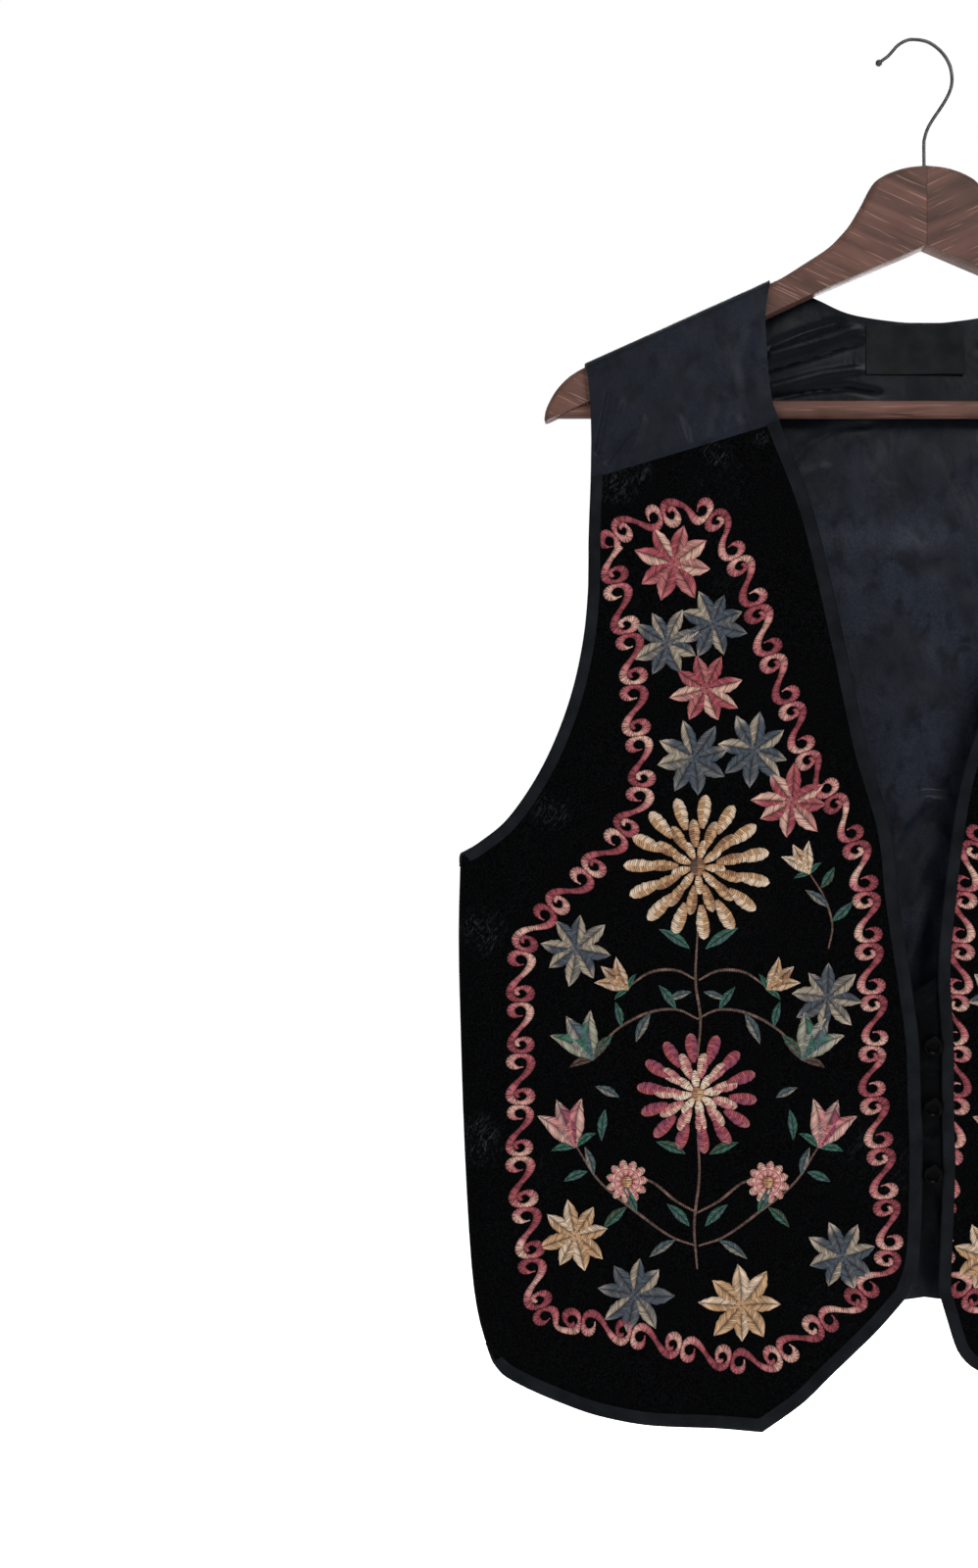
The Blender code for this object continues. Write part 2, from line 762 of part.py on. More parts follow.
def build_bar(wood, parent):
    """A round bar whose ends are cut on a slant to lie under the arms."""
    reach = 226.0
    path = [(x * MM, 0.0, BAR_Z * MM) for x in np.linspace(-reach, reach, 9)]
    mesh = swept_mesh("hanger_bar", path, [BAR_RADIUS * MM] * len(path), 20)
    bm = bmesh.new()
    bm.from_mesh(mesh)
    tip, knee = ARM_END[-1], ARM_UNDERSIDE[0]
    slope = math.atan2(knee[1] - tip[1], tip[0] - knee[0])
    for side in (-1, 1):
        up = Vector((side * math.sin(slope), 0.0, math.cos(slope)))
        below = Vector((side * knee[0] * MM, 0.0, knee[1] * MM)) - up * (SEAM_GAP * MM)
        geometry = bm.verts[:] + bm.edges[:] + bm.faces[:]
        cut = bmesh.ops.bisect_plane(
            bm, geom=geometry, plane_co=below, plane_no=up, clear_outer=True
        )
        rim = [item for item in cut["geom_cut"] if isinstance(item, bmesh.types.BMEdge)]
        bmesh.ops.edgenet_fill(bm, edges=rim)
    bmesh.ops.recalc_face_normals(bm, faces=bm.faces[:])
    mesh = mesh_from_bmesh("hanger_bar", bm, 40)
    add_object("hanger_bar", mesh, wood, parent)


def hook_path():
    """Up the stem, over the crown, and out to the small ball on the wire's end."""
    line = smooth_curve([(0.0, NECK_TOP_Z + SEAM_GAP)] + HOOK_LINE, 3)
    end = line[-1]
    out = unit(line[-2], end)
    ball = []
    for step in range(1, 8):
        ball.append(end + out * HOOK_BALL_RADIUS * (0.9 - math.cos(math.pi * step / 8)))
    radii = [HOOK_WIRE_RADIUS] * len(line)
    for step in range(1, 8):
        radii.append(max(HOOK_BALL_RADIUS * math.sin(math.pi * step / 8), 0.8))
    points = list(line) + ball
    return [(x * MM, 0.0, z * MM) for x, z in points], [r * MM for r in radii]


def build_hanger(wood, bar_wood, steel, parent):
    for side, name in ((-1, "left"), (1, "right")):
        build_wood_half(side, name, wood, parent)
    build_bar(bar_wood, parent)
    path, radii = hook_path()
    add_object("hanger_hook", swept_mesh("hanger_hook", path, radii, 8), steel, parent)


def main():
    fresh_scene()
    hanger = bpy.data.objects.new("hanger", None)
    vest = bpy.data.objects.new("vest", None)
    for empty in (hanger, vest):
        bpy.context.scene.collection.objects.link(empty)
    vest.location.x = VEST_SHIFT * MM
    vest.parent = hanger
    velvet = make_material("black velvet", (0.008, 0.008, 0.009), 0.95)
    satin = make_material("black satin", (0.014, 0.017, 0.026), 0.38)
    binding = make_material("charcoal binding", (0.018, 0.022, 0.027), 0.8)
    woven = make_material("woven label", (0.02, 0.024, 0.022), 0.85)
    horn = make_material("black button", (0.006, 0.006, 0.007), 0.18)
    wood = make_material("stained wood", (0.16, 0.055, 0.035), 0.5)
    bar_wood = make_material("stained bar", (0.2, 0.065, 0.042), 0.5)
    steel = make_material("dark steel", (0.12, 0.12, 0.125), 0.35, 1.0)
    for side, name in ((-1, "left"), (1, "right")):
        build_front(side, name, velvet, binding, vest)
        build_yoke(side, name, satin, vest)
    build_back(satin, vest)
    build_label(woven, vest)
    build_closing(satin, horn, binding, vest)
    build_hanger(wood, bar_wood, steel, hanger)
    bpy.context.view_layer.update()


main()
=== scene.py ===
"""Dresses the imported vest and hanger: cloth, bindings, embroidery, closing, wood and hook.

Metres in the scene, +Z up, +X to the viewer's right, -Y towards the viewer. Tables are in
millimetres: u is the distance from the vest's centre line to either side, z the height above
the origin. Heights of stitches and folds are measured outwards from the cloth's outer face.
"""
import math

import bmesh
import bpy
import numpy as np
from mathutils import Matrix, Vector


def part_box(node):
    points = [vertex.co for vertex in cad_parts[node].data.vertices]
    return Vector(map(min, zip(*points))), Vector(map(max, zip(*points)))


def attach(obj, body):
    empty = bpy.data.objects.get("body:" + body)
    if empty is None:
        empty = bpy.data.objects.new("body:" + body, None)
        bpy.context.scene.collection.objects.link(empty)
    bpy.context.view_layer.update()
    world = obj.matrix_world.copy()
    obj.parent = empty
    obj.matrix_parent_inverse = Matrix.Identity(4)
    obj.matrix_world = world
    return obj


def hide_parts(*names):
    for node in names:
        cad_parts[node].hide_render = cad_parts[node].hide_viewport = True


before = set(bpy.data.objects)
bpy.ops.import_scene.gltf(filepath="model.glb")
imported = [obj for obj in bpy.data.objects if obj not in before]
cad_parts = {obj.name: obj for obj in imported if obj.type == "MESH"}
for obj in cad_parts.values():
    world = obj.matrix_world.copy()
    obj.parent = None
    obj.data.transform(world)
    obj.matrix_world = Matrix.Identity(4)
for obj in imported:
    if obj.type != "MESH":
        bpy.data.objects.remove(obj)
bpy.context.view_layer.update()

MM = 0.001
VEST_SHIFT = 2.0
SEAM_GAP = 0.1

# Millimetres to one step of the photograph's frame, and the place in it of u = 0, z = 0
PHOTO_STEP = 0.5632
PHOTO_ORIGIN = (952.7, 32.6)

# Corners of the pattern, as (u, z)
SHOULDER_TIP = (199.8, -187.5)
NECK_POINT = (93.0, -139.2)
YOKE_OUTER = (196.9, -255.9)
YOKE_INNER = (87.7, -223.2)
UNDERARM = (272.1, -472.2)
HEM_CORNER = (252.1, -770.9)
HEM_POINT = (97.8, -806.2)
FRONT_CORNER = (13.7, -727.0)
RIGHT_CORNER = (3.6, -724.0)
BACK_NECK_Z = -160.9
BACK_HEM_Z = -733.2

# Outline stretches between those corners, as (u, z)
YOKE_ARM_EDGE = [SHOULDER_TIP, (197.4, -206.9), (196.6, -232.0), YOKE_OUTER]
YOKE_NECK_EDGE = [NECK_POINT, (96.1, -165.2), (92.8, -206.9), YOKE_INNER]
ARMHOLE = [
    YOKE_OUTER, (198.1, -290.0), (198.6, -322.0), (202.0, -353.2), (210.2, -386.9), (224.3, -420.9),
    (243.5, -450.4), (260.7, -465.3), UNDERARM,
]
SIDE_SEAM = [
    UNDERARM, (273.2, -520.0), (272.1, -575.0), (269.8, -643.5), (265.8, -712.0), (260.7, -746.3),
    HEM_CORNER,
]
HEM = [
    HEM_CORNER, (243.6, -776.8), (218.4, -787.5), (193.0, -796.6), (163.7, -802.2), (125.4, -804.0),
    HEM_POINT,
]
DIAGONAL = [HEM_POINT, (74.3, -789.4), (57.3, -772.6), (32.0, -747.9), FRONT_CORNER]
FRONT_EDGE = [
    FRONT_CORNER, (7.2, -703.7), (5.5, -648.5), (6.6, -611.9), (7.6, -582.0), (11.7, -549.9),
    (19.5, -497.5), (24.0, -458.1), (38.1, -408.0), (51.6, -344.3), (68.0, -275.6), YOKE_INNER,
]

# The right front is cut a little fuller, so its edge and its low corner lie nearer the centre
RIGHT_DIAGONAL = [
    HEM_POINT, (74.0, -794.0), (50.0, -782.3), (25.5, -770.0), (17.4, -763.0), (13.4, -756.0),
    (9.3, -743.2), RIGHT_CORNER,
]
RIGHT_FRONT_EDGE = [
    RIGHT_CORNER, (4.4, -700.0), (5.9, -656.0), (5.2, -618.0), (5.0, -580.0), (3.0, -545.0),
    (4.4, -516.7), (9.0, -474.5), (15.9, -432.2), (25.5, -400.5), (45.0, -343.5), (67.0, -281.0),
    YOKE_INNER,
]
BACK_NECK = [NECK_POINT, (67.3, -145.3), (43.1, -155.7), (15.4, -160.3), (0.0, BACK_NECK_Z)]
BACK_HEM = [HEM_CORNER, (190.0, -768.0), (100.0, -748.0), (0.0, BACK_HEM_Z)]

# Places on the velvet whose pile is crushed, where the laid pile's sheen is painted as a lighter grey:
# (u, depth below the origin), and how far they reach
CRUSHED_PILE_SHEEN = [
    ((124.0, 241.0), 11.0), ((99.0, 233.0), 6.0), ((181.0, 260.0), 14.0), ((168.0, 252.0), 9.0),
    ((220.0, 448.0), 13.0), ((260.0, 517.0), 17.0), ((262.0, 638.0), 18.0), ((208.0, 330.0), 10.0),
]

# Half of the vest's thickness as it hangs, as (height, half thickness)
HALF_DEPTH = [
    (-900.0, 11.0), (-800.0, 11.0), (-620.0, 13.0), (-480.0, 13.5), (-300.0, 12.0), (-230.0, 11.5),
    (-100.0, 11.5),
]
SIDE_ROUND = 45.0
RIDGE_ROUND = 5.0
EDGE_FLOOR = 0.001
SEAM_CALM = 5.0
SEAM_DIP = (0.7, 1.8)

# Creases: (path, half width, height), a ridge where the height is positive. A front's and a
# yoke's paths are (u, z) on either side; the back's are (x, z).
FRONT_CREASES = [
    ([(215, -440), (120, -520)], 30, 1.2), ([(225, -600), (200, -740)], 34, -1.2),
    ([(110, -560), (95, -700)], 55, 1.5), ([(60, -420), (40, -520)], 26, -1.0),
    ([(262, -480), (240, -500), (222, -528)], 9, -0.8),
    ([(255, -505), (238, -530), (228, -562)], 8, 0.7),
    ([(205, -300), (188, -318), (180, -345)], 7, -0.6),
    ([(100, -232), (108, -262), (104, -292)], 6, -0.6), ([(126, -240), (128, -262)], 5, 0.5),
    ([(178, -252), (176, -276), (182, -300)], 5, 0.6), ([(150, -246), (149, -262)], 5, -0.5),
    ([(262, -640), (236, -652), (216, -648)], 8, 0.7), ([(255, -700), (230, -716)], 8, -0.7),
    ([(30, -600), (46, -625), (44, -660)], 9, -0.6),
    ([(60, -740), (90, -762), (130, -780)], 8, -0.7),
]
YOKE_CREASES = [
    ([(186, -206), (189, -222), (193, -240)], 2.6, -1.5),
    ([(180, -212), (184, -226), (187, -238)], 3.2, 1.1),
    ([(173, -227), (180, -236), (187, -246)], 2.4, -1.5), ([(167, -222), (172, -238)], 3.4, 0.9),
    ([(146, -222), (142, -234)], 2.8, 1.0), ([(139, -224), (137, -240)], 2.8, -1.2),
    ([(122, -212), (128, -238)], 5, -0.8), ([(113, -222), (110, -232)], 4, 0.7),
    ([(104, -170), (110, -190), (106, -212)], 6, -0.6),
]
BACK_CREASES = [
    ([(-150, -300), (-60, -420)], 32, 2.0), ([(140, -310), (70, -410)], 32, 1.8),
    ([(-120, -560), (-135, -760)], 36, 2.2), ([(95, -540), (120, -750)], 36, 2.0),
    ([(0, -480), (-10, -720)], 42, -2.0), ([(-93, -189), (-66, -181), (-38, -172)], 3.2, 1.7),
    ([(-90, -199), (-60, -191), (-38, -188)], 3.2, -1.5),
    ([(-90, -180), (-62, -171), (-40, -164)], 3.0, -1.3),
    ([(-92, -206), (-66, -201), (-44, -199), (-28, -202)], 3.2, 1.6),
    ([(-90, -174), (-70, -166), (-50, -160)], 3.0, 1.1),
    ([(36, -176), (60, -182), (90, -192)], 5, 1.2), ([(38, -190), (66, -198), (92, -204)], 5, -1.0),
    ([(-77, -243), (-66, -230), (-50, -223), (-32, -221)], 4, 1.2),
    ([(-84, -262), (-70, -250), (-58, -246)], 4, -0.9),
    ([(76, -246), (62, -232), (40, -226)], 8, 1.4),
    ([(-70, -290), (-30, -300), (8, -292)], 16, -0.5),
    ([(-30, -330), (10, -345), (44, -335)], 18, 0.4),
    ([(-38, -400), (-8, -382), (22, -392)], 14, -0.5),
    ([(-17, -462), (-9, -449), (1, -440), (17, -441)], 5.0, -3.2),
    ([(-13, -472), (-3, -457), (7, -452), (18, -452)], 5.0, 1.4),
    ([(-5, -488), (3, -474), (12, -466)], 5.5, -2.6),
    ([(-14, -500), (-6, -486), (-2, -474)], 5.0, 1.3),
    ([(-7, -530), (-2, -512), (5, -496)], 5.5, -2.6),
    ([(2, -540), (7, -522), (10, -508)], 5.0, 1.2),
    ([(-230, -480), (-190, -520), (-170, -560)], 14, 1.6), ([(-240, -500), (-215, -545)], 9, -1.3),
    ([(232, -486), (196, -526), (172, -580)], 14, 1.5), ([(244, -510), (222, -552)], 9, -1.3),
    ([(-180, -215), (-150, -250), (-140, -290)], 12, 1.4), ([(182, -220), (156, -262)], 12, 1.4),
    ([(-60, -640), (-40, -700), (-44, -742)], 13, 1.4),
    ([(52, -640), (44, -700), (50, -736)], 13, -1.3),
]
STRIP_CREASES = [
    ([(-10, -560), (2, -553), (11, -540)], 4, 0.8), ([(-9, -600), (-2, -596), (8, -600)], 4, -0.6),
    ([(-8, -634), (0, -637), (9, -632)], 4, 0.6), ([(-6, -668), (-4, -684), (-7, -697)], 3, 0.7),
    ([(4, -664), (6, -680), (3, -696)], 3, -0.7),
]
PUCKER = {"front": (0.16, 17.0), "yoke": (0.22, 13.0), "back": (0.30, 21.0), "strip": (0.18, 9.0)}

# Flat sizes that the pieces are cut to, width and length
FRONT_CUT = (270.0, 584.0)
YOKE_CUT = (113.0, 118.0)
BACK_CUT = (552.0, 634.0)

# Cloth thicknesses and bindings
VELVET_WALL = 1.3
SATIN_WALL = 1.1
BACK_WALL = 1.3
EDGE_BINDING_WIDTHS = {-1: 8.0, 1: 7.0}
ARMHOLE_BINDING_WIDTH = 6.8
BACK_ARMHOLE_INSET = 3.0
PANEL_TUCK = 1.2
COLUMN_GRADING = 1.25
FRONT_COLUMNS = 104
FRONT_POINT_COLUMN = 70
BACK_COLUMNS = 92
BACK_GRADING = 1.12
BACK_NECK_COLUMN = 55
NECK_STEPS = [0.8, 2.2, 5.0]
LEAST_STEP = 0.004
ARMHOLE_ROWS = 62
SIDE_ROWS = 106
RIDGE_DROPS = [0.0, 0.12, 0.38, 0.8, 1.46, 2.2, 3.09, 4.0, 5.0, 6.5]
YOKE_DROPS = list(np.arange(8.0, 77.0, 1.5)) + [78.0]
BACK_DROPS = list(np.arange(8.0, 62.0, 1.5)) + list(np.arange(62.0, 170.0, 2.4))
BACK_ARMHOLE_ROWS = 46
BACK_SIDE_ROWS = 78

# A binding's section: its outer face and its inner one, both folded round the edge. Each point is
# a share of the binding's width and an addition, which make its distance in from the edge, and
# its offset.
TAPE_OVER = [
    (1, 0, 0.30), (1, -0.3, 0.52), (1, -0.9, 0.58), (1, -1.5, 0.40), (1, -2.1, 0.58), (0.5, 0, 0.66),
    (0, 2.0, 0.62), (0, 1.0, 0.46), (0, 0.35, 0.08), (0, 0, -0.62), (0, 0.35, -1.34), (0, 1.0, -1.72),
    (0, 2.0, -1.88), (0.5, 0, -1.92), (1, -1.5, -1.88), (1, -0.2, -1.80),
]
TAPE_UNDER = [
    (1, 0, 0.07), (1, -0.3, 0.07), (1, -0.9, 0.07), (1, -1.5, 0.05), (1, -2.1, 0.07), (0.5, 0, 0.07),
    (0, 2.0, 0.07), (0, 1.3, 0.04), (0, 0.95, -0.25), (0, 0.8, -0.62), (0, 0.95, -1.05),
    (0, 1.3, -1.38), (0, 2.0, -1.42), (0.5, 0, -1.42), (1, -1.5, -1.42), (1, -0.2, -1.42),
]

# Closing
STRIP_HALF_WIDTH = 13.0
STRIP_TOP = -545.0
STRIP_BOTTOM = -700.0
STRIP_SLANT = 9.0
STRIP_OFFSET = -2.75
STRIP_WALL = 0.8
BUTTON_COUNT = 3
BUTTON_RADIUS = 5.7
BUTTON_THICKNESS = 2.3
BUTTON_EDGE_ROUND = 0.75
# The face's rings, from the rim in: width, and how far each sinks
BUTTON_RINGS = [(0.35, 0.0), (0.45, 0.35), (0.8, 0.25), (1.6, 0.0)]
BUTTON_FOOT_RIM = 1.2
BUTTON_FOOT_SINK = 0.3
SHANK_RADIUS = 1.8
SHANK_LENGTH = 3.3
LOOP_CORD_RADIUS = 0.7
LOOP_SLACK = 0.4
LOOP_ENDS = [-4.2, -2.8, -1.2]

# Neck label
LABEL_CENTRE = -4.8
LABEL_SIZE = (58.0, 29.0)
LABEL_TOP = -162.3
LABEL_CURL = 1.6
LABEL_GAP = 0.18
LABEL_WALL = 0.55

# Hanger
WOOD_HALF_THICKNESS = 7.5
NECK_TOP_Z = -72.9
NECK_OUTLINE = [
    (0.0, NECK_TOP_Z), (10.2, -74.0), (17.0, -75.8), (23.8, -78.6), (30.7, -83.7), (37.5, -96.2),
    (44.3, -107.6), (51.1, -115.5), (57.9, -121.8), (72.0, -131.0), (83.0, -137.9), (91.0, -141.7),
    (100.0, -145.8), (116.0, -153.0), (150.0, -168.4), (182.0, -182.9), (197.8, -190.1),
]
ARM_END = [
    (197.8, -190.1), (202.5, -192.6), (208.6, -197.0), (214.8, -203.9), (219.6, -212.6),
    (221.2, -218.4), (220.5, -221.5),
]
ARM_UNDERSIDE = [(220.5, -221.5), (186.0, -206.2), (92.0, -160.2), (60.0, -145.3), (0.0, -119.8)]
TOP_EDGE_ROUND = 4.0
LOWER_EDGE_ROUND = 0.8
FACE_FRAME = 0.5
ON_LINE = 0.15
LEVEL = 1e-6
BAR_RADIUS = 5.25
BAR_Z = -214.0
BAR_ROUGH_LENGTH = 460.0
BAR_GAP = 0.3
HOOK_WIRE_RADIUS = 1.0
HOOK_BALL_RADIUS = 2.0
HOOK_LINE = [
    (0.0, NECK_TOP_Z + 0.3), (-0.1, -59.5), (0.4, -55.3), (1.9, -50.6), (4.7, -45.4), (8.8, -39.4),
    (12.8, -33.0), (15.4, -27.2), (16.3, -21.6), (15.4, -14.7), (12.6, -8.7), (7.9, -3.4),
    (1.4, 0.6), (-6.8, 1.8), (-11.6, 0.6), (-15.8, -2.2), (-20.4, -7.4), (-24.9, -10.9),
]


# Pattern


def even(count):
    return np.linspace(0.0, 1.0, count)


def lengths_along(line):
    """How far along a polyline each of its points lies."""
    steps = np.linalg.norm(np.diff(line, axis=0), axis=1)
    return np.concatenate([[0.0], np.cumsum(steps)])


def at_lengths(line, reached, wanted):
    return np.stack([np.interp(wanted, reached, line[:, i]) for i in (0, 1)], axis=1)


def along(points, shares):
    """Points on the polyline at these shares of its length."""
    points = np.asarray(points, float)
    reached = lengths_along(points)
    return at_lengths(points, reached, np.asarray(shares) * reached[-1])


def unit_rows(rows):
    return rows / np.linalg.norm(rows, axis=1)[:, None]


def left_of(ways):
    """Each direction turned a quarter anticlockwise."""
    return np.stack([-ways[:, 1], ways[:, 0]], axis=1)


def smooth_curve(points, steps=12):
    """A fine polyline through the points, bending smoothly at each (Catmull-Rom)."""
    points = np.asarray(points, float)
    padded = np.vstack([2 * points[0] - points[1], points, 2 * points[-1] - points[-2]])
    share = np.linspace(0.0, 1.0, steps, endpoint=False)[:, None]
    stretches = []
    for a, b, c, d in zip(padded, padded[1:], padded[2:], padded[3:]):
        curve = 2 * b + (c - a) * share
        curve += (2 * a - 5 * b + 4 * c - d) * share**2
        curve += (3 * b - a - 3 * c + d) * share**3
        stretches.append(curve / 2)
    return np.vstack([*stretches, points[-1]])


def inset(points, width, start_way, end_way):
    """The curve moved to its right by width. Its two ends slide along the ways given."""
    points = np.asarray(points, float)
    rights = -left_of(unit_rows(np.diff(points, axis=0)))
    moved = points.copy()
    for i in range(1, len(points) - 1):
        before, after = rights[i - 1], rights[i]
        moved[i] += width * (before + after) / (1 + before @ after)
    for i, way in ((0, start_way), (-1, end_way)):
        way = np.asarray(way, float)
        moved[i] += width * way / abs(way @ rights[i])
    return moved


def unit(start, end):
    way = np.subtract(end, start).astype(float)
    return way / np.linalg.norm(way)


def nearest_on(points, path):
    """For each point: its distance to the path, and the direction away from the path."""
    best = np.full(len(points), np.inf)
    away = np.zeros((len(points), 2))
    for start, end in zip(path[:-1], path[1:]):
        run = end - start
        share = np.clip((points - start) @ run / (run @ run), 0.0, 1.0)
        gap = points - (start + share[:, None] * run)
        distance = np.linalg.norm(gap, axis=1)
        closer = distance < best
        best[closer] = distance[closer]
        inward = np.array([run[1], -run[0]]) / np.linalg.norm(run)
        safe = np.where(distance > 1e-6, distance, 1.0)[:, None]
        direction = np.where(distance[:, None] > 1e-6, gap / safe, inward)
        away[closer] = direction[closer]
    return best, away


def rounding(distance, width):
    """1 away from a closed seam, falling in a quarter ellipse to nothing on it, and its slope."""
    left = 1.0 - np.minimum(distance / width, 1.0)
    height = np.sqrt(np.maximum(1.0 - left**2, EDGE_FLOOR**2))
    return height, left / (width * height)


SIDE_LINE = smooth_curve(SIDE_SEAM, 3)
YOKE_SEAM = np.array([YOKE_OUTER, YOKE_INNER])
RIDGE_LINE = np.array([NECK_POINT, SHOULDER_TIP])


def from_yoke_seam(points):
    """The distance of (x, z) points on either side to the yoke seam."""
    return nearest_on(np.abs(points) * (1, -1), YOKE_SEAM)[0]


class Cloth:
    """How one sheet hangs: the side that it faces (-1 is the front), its creases and puckers."""

    def __init__(self, facing, creases=(), pucker=(0.0, 20.0), side=1):
        self.facing = facing
        self.creases = [
            (np.array(path, float) * (side, 1.0), width, height) for path, width, height in creases
        ]
        self.pucker, self.size = pucker

    def relief(self, points):
        """Height of the creases and of a fine puckering, both gone at the yoke seam."""
        total = np.zeros(len(points))
        for path, width, height in self.creases:
            low = path.min(axis=0) - width
            high = path.max(axis=0) + width
            near = np.all((points > low) & (points < high), axis=1)
            distance, _ = nearest_on(points[near], path)
            share = np.minimum(distance / width, 1.0)
            total[near] += height * 0.5 * (1.0 + np.cos(math.pi * share))
        x, z = points[:, 0] / self.size, points[:, 1] / self.size
        waves = np.sin(1.7 * x + 1.9 * np.sin(0.83 * z)) * np.sin(1.3 * z + 1.4 * np.sin(0.71 * x))
        waves += 0.6 * np.sin(3.1 * x - 2.3 * z + 1.2 * np.sin(1.9 * z))
        total += self.pucker * waves
        if self.facing < 0:
            total *= 1.0 - np.exp(-((from_yoke_seam(points) / SEAM_CALM) ** 2))
        return total

    def full_depth(self, points):
        return np.interp(points[:, 1], *np.array(HALF_DEPTH).T) + self.relief(points)

    def surface(self, points):
        """Depth of the outer face at each (x, z), and its outward normal (x, depth, z)."""
        mirrored = np.stack([np.abs(points[:, 0]), points[:, 1]], axis=1)
        side_way = np.where(points[:, 0] < 0, -1.0, 1.0)
        side_distance, side_away = nearest_on(mirrored, SIDE_LINE)
        ridge_distance, ridge_away = nearest_on(mirrored, RIDGE_LINE)
        side, side_slope = rounding(side_distance, SIDE_ROUND)
        ridge, ridge_slope = rounding(ridge_distance, RIDGE_ROUND)
        full = self.full_depth(points)
        slope = np.zeros_like(points)
        for axis in (0, 1):
            shift = np.eye(2)[axis] * 0.5
            ahead, behind = self.full_depth(points + shift), self.full_depth(points - shift)
            slope[:, axis] = (ahead - behind) * side * ridge
        seams = (full * ridge * side_slope)[:, None] * side_away
        seams += (full * side * ridge_slope)[:, None] * ridge_away
        seams[:, 0] *= side_way
        slope += seams
        normal = np.stack([-slope[:, 0], np.ones(len(points)), -slope[:, 1]], axis=1)
        return full * side * ridge + SEAM_GAP / 2, unit_rows(normal)

    def places(self, points, offset=0.0):
        """Scene places of the (x, z) points, offset outwards from the outer face."""
        points = np.asarray(points, float)
        depth, normal = self.surface(points)
        x = points[:, 0] + offset * normal[:, 0] + VEST_SHIFT
        y = self.facing * np.maximum(depth + offset * normal[:, 1], SEAM_GAP / 2)
        z = points[:, 1] + offset * normal[:, 2]
        return np.stack([x, y, z], axis=1) * MM


def patch(top, bottom, left, right, column_shares, row_shares):
    """Fills four boundary curves that meet at their ends, as a grid [row, column]."""
    s = np.asarray(column_shares)[None, :, None]
    t = np.asarray(row_shares)[:, None, None]
    across = (1 - s) * left[:, None, :] + s * right[:, None, :]
    down = (1 - t) * top[None, :, :] + t * bottom[None, :, :]
    corners = (1 - t) * ((1 - s) * top[0] + s * top[-1])
    corners = corners + t * ((1 - s) * bottom[0] + s * bottom[-1])
    return across + down - corners


def height_shares(points):
    return (points[:, 1] - points[0, 1]) / (points[-1, 1] - points[0, 1])


def at_heights(path, heights):
    """Points of a path that runs up or down, at these heights."""
    order = np.argsort(path[:, 1])
    across = np.interp(heights, path[order, 1], path[order, 0])
    return np.stack([across, heights], axis=1)


def graded(count, power=COLUMN_GRADING):
    return (np.arange(count + 1) / count) ** power


def joined(first, second, shares, corner):
    """Two curves end to end, with the corner between them on one of the shares."""
    split = shares[corner]
    before = along(first, shares[: corner + 1] / split)
    after = along(second, (shares[corner:] - split) / (1 - split))
    return np.vstack([before, after[1:]])


def sided(points, side):
    return points * np.array([side, 1.0])


class FrontPattern:
    """The front's sampled outline, and the same outline moved inwards."""

    def __init__(self, side):
        diagonal, front_edge = DIAGONAL, FRONT_EDGE
        if side > 0:
            diagonal, front_edge = RIGHT_DIAGONAL, RIGHT_FRONT_EDGE
        self.binding_width = EDGE_BINDING_WIDTHS[side]
        self.shares = graded(FRONT_COLUMNS)
        self.armhole = along(smooth_curve(ARMHOLE), even(ARMHOLE_ROWS + 1))
        low = joined(smooth_curve(HEM), smooth_curve(diagonal), self.shares, FRONT_POINT_COLUMN)
        side_seam = along(SIDE_LINE, even(SIDE_ROWS + 1))
        shares = height_shares(np.vstack([self.armhole, side_seam[1:]]))
        heights = YOKE_INNER[1] + shares * (front_edge[0][1] - YOKE_INNER[1])
        edge = at_heights(smooth_curve(front_edge), heights[::-1])
        self.edge = np.vstack([low, edge[1:]])

    def inside_armhole(self, width):
        seam_way = unit(YOKE_OUTER, YOKE_INNER)
        side_way = unit(SIDE_LINE[0], SIDE_LINE[1])
        return inset(self.armhole, width, seam_way, side_way)

    def inside_edge(self, width):
        side_way = unit(SIDE_LINE[-1], SIDE_LINE[-2])
        seam_way = unit(YOKE_INNER, YOKE_OUTER)
        return inset(self.edge, width, side_way, seam_way)

    def panel_grid(self):
        armhole = self.inside_armhole(PANEL_TUCK)
        edge = self.inside_edge(PANEL_TUCK)
        low = edge[: FRONT_COLUMNS + 1]
        heights = np.linspace(armhole[-1][1], low[0][1], SIDE_ROWS + 1)
        left = np.vstack([armhole, at_heights(SIDE_LINE, heights)[1:]])
        right = edge[FRONT_COLUMNS:][::-1]
        top = along([left[0], right[0]], self.shares)
        return patch(top, low, left, right, self.shares, height_shares(left))


def yoke_grid():
    shares = graded(FRONT_COLUMNS * 3 // 4)
    drops = np.array(RIDGE_DROPS + YOKE_DROPS)
    rows = drops / drops[-1]
    left = along(smooth_curve(YOKE_ARM_EDGE), rows)
    right = along(smooth_curve(YOKE_NECK_EDGE), rows)
    top = along([SHOULDER_TIP, NECK_POINT], shares)
    bottom = along([left[-1], right[-1]], shares)
    return patch(top, bottom, left, right, shares, rows)


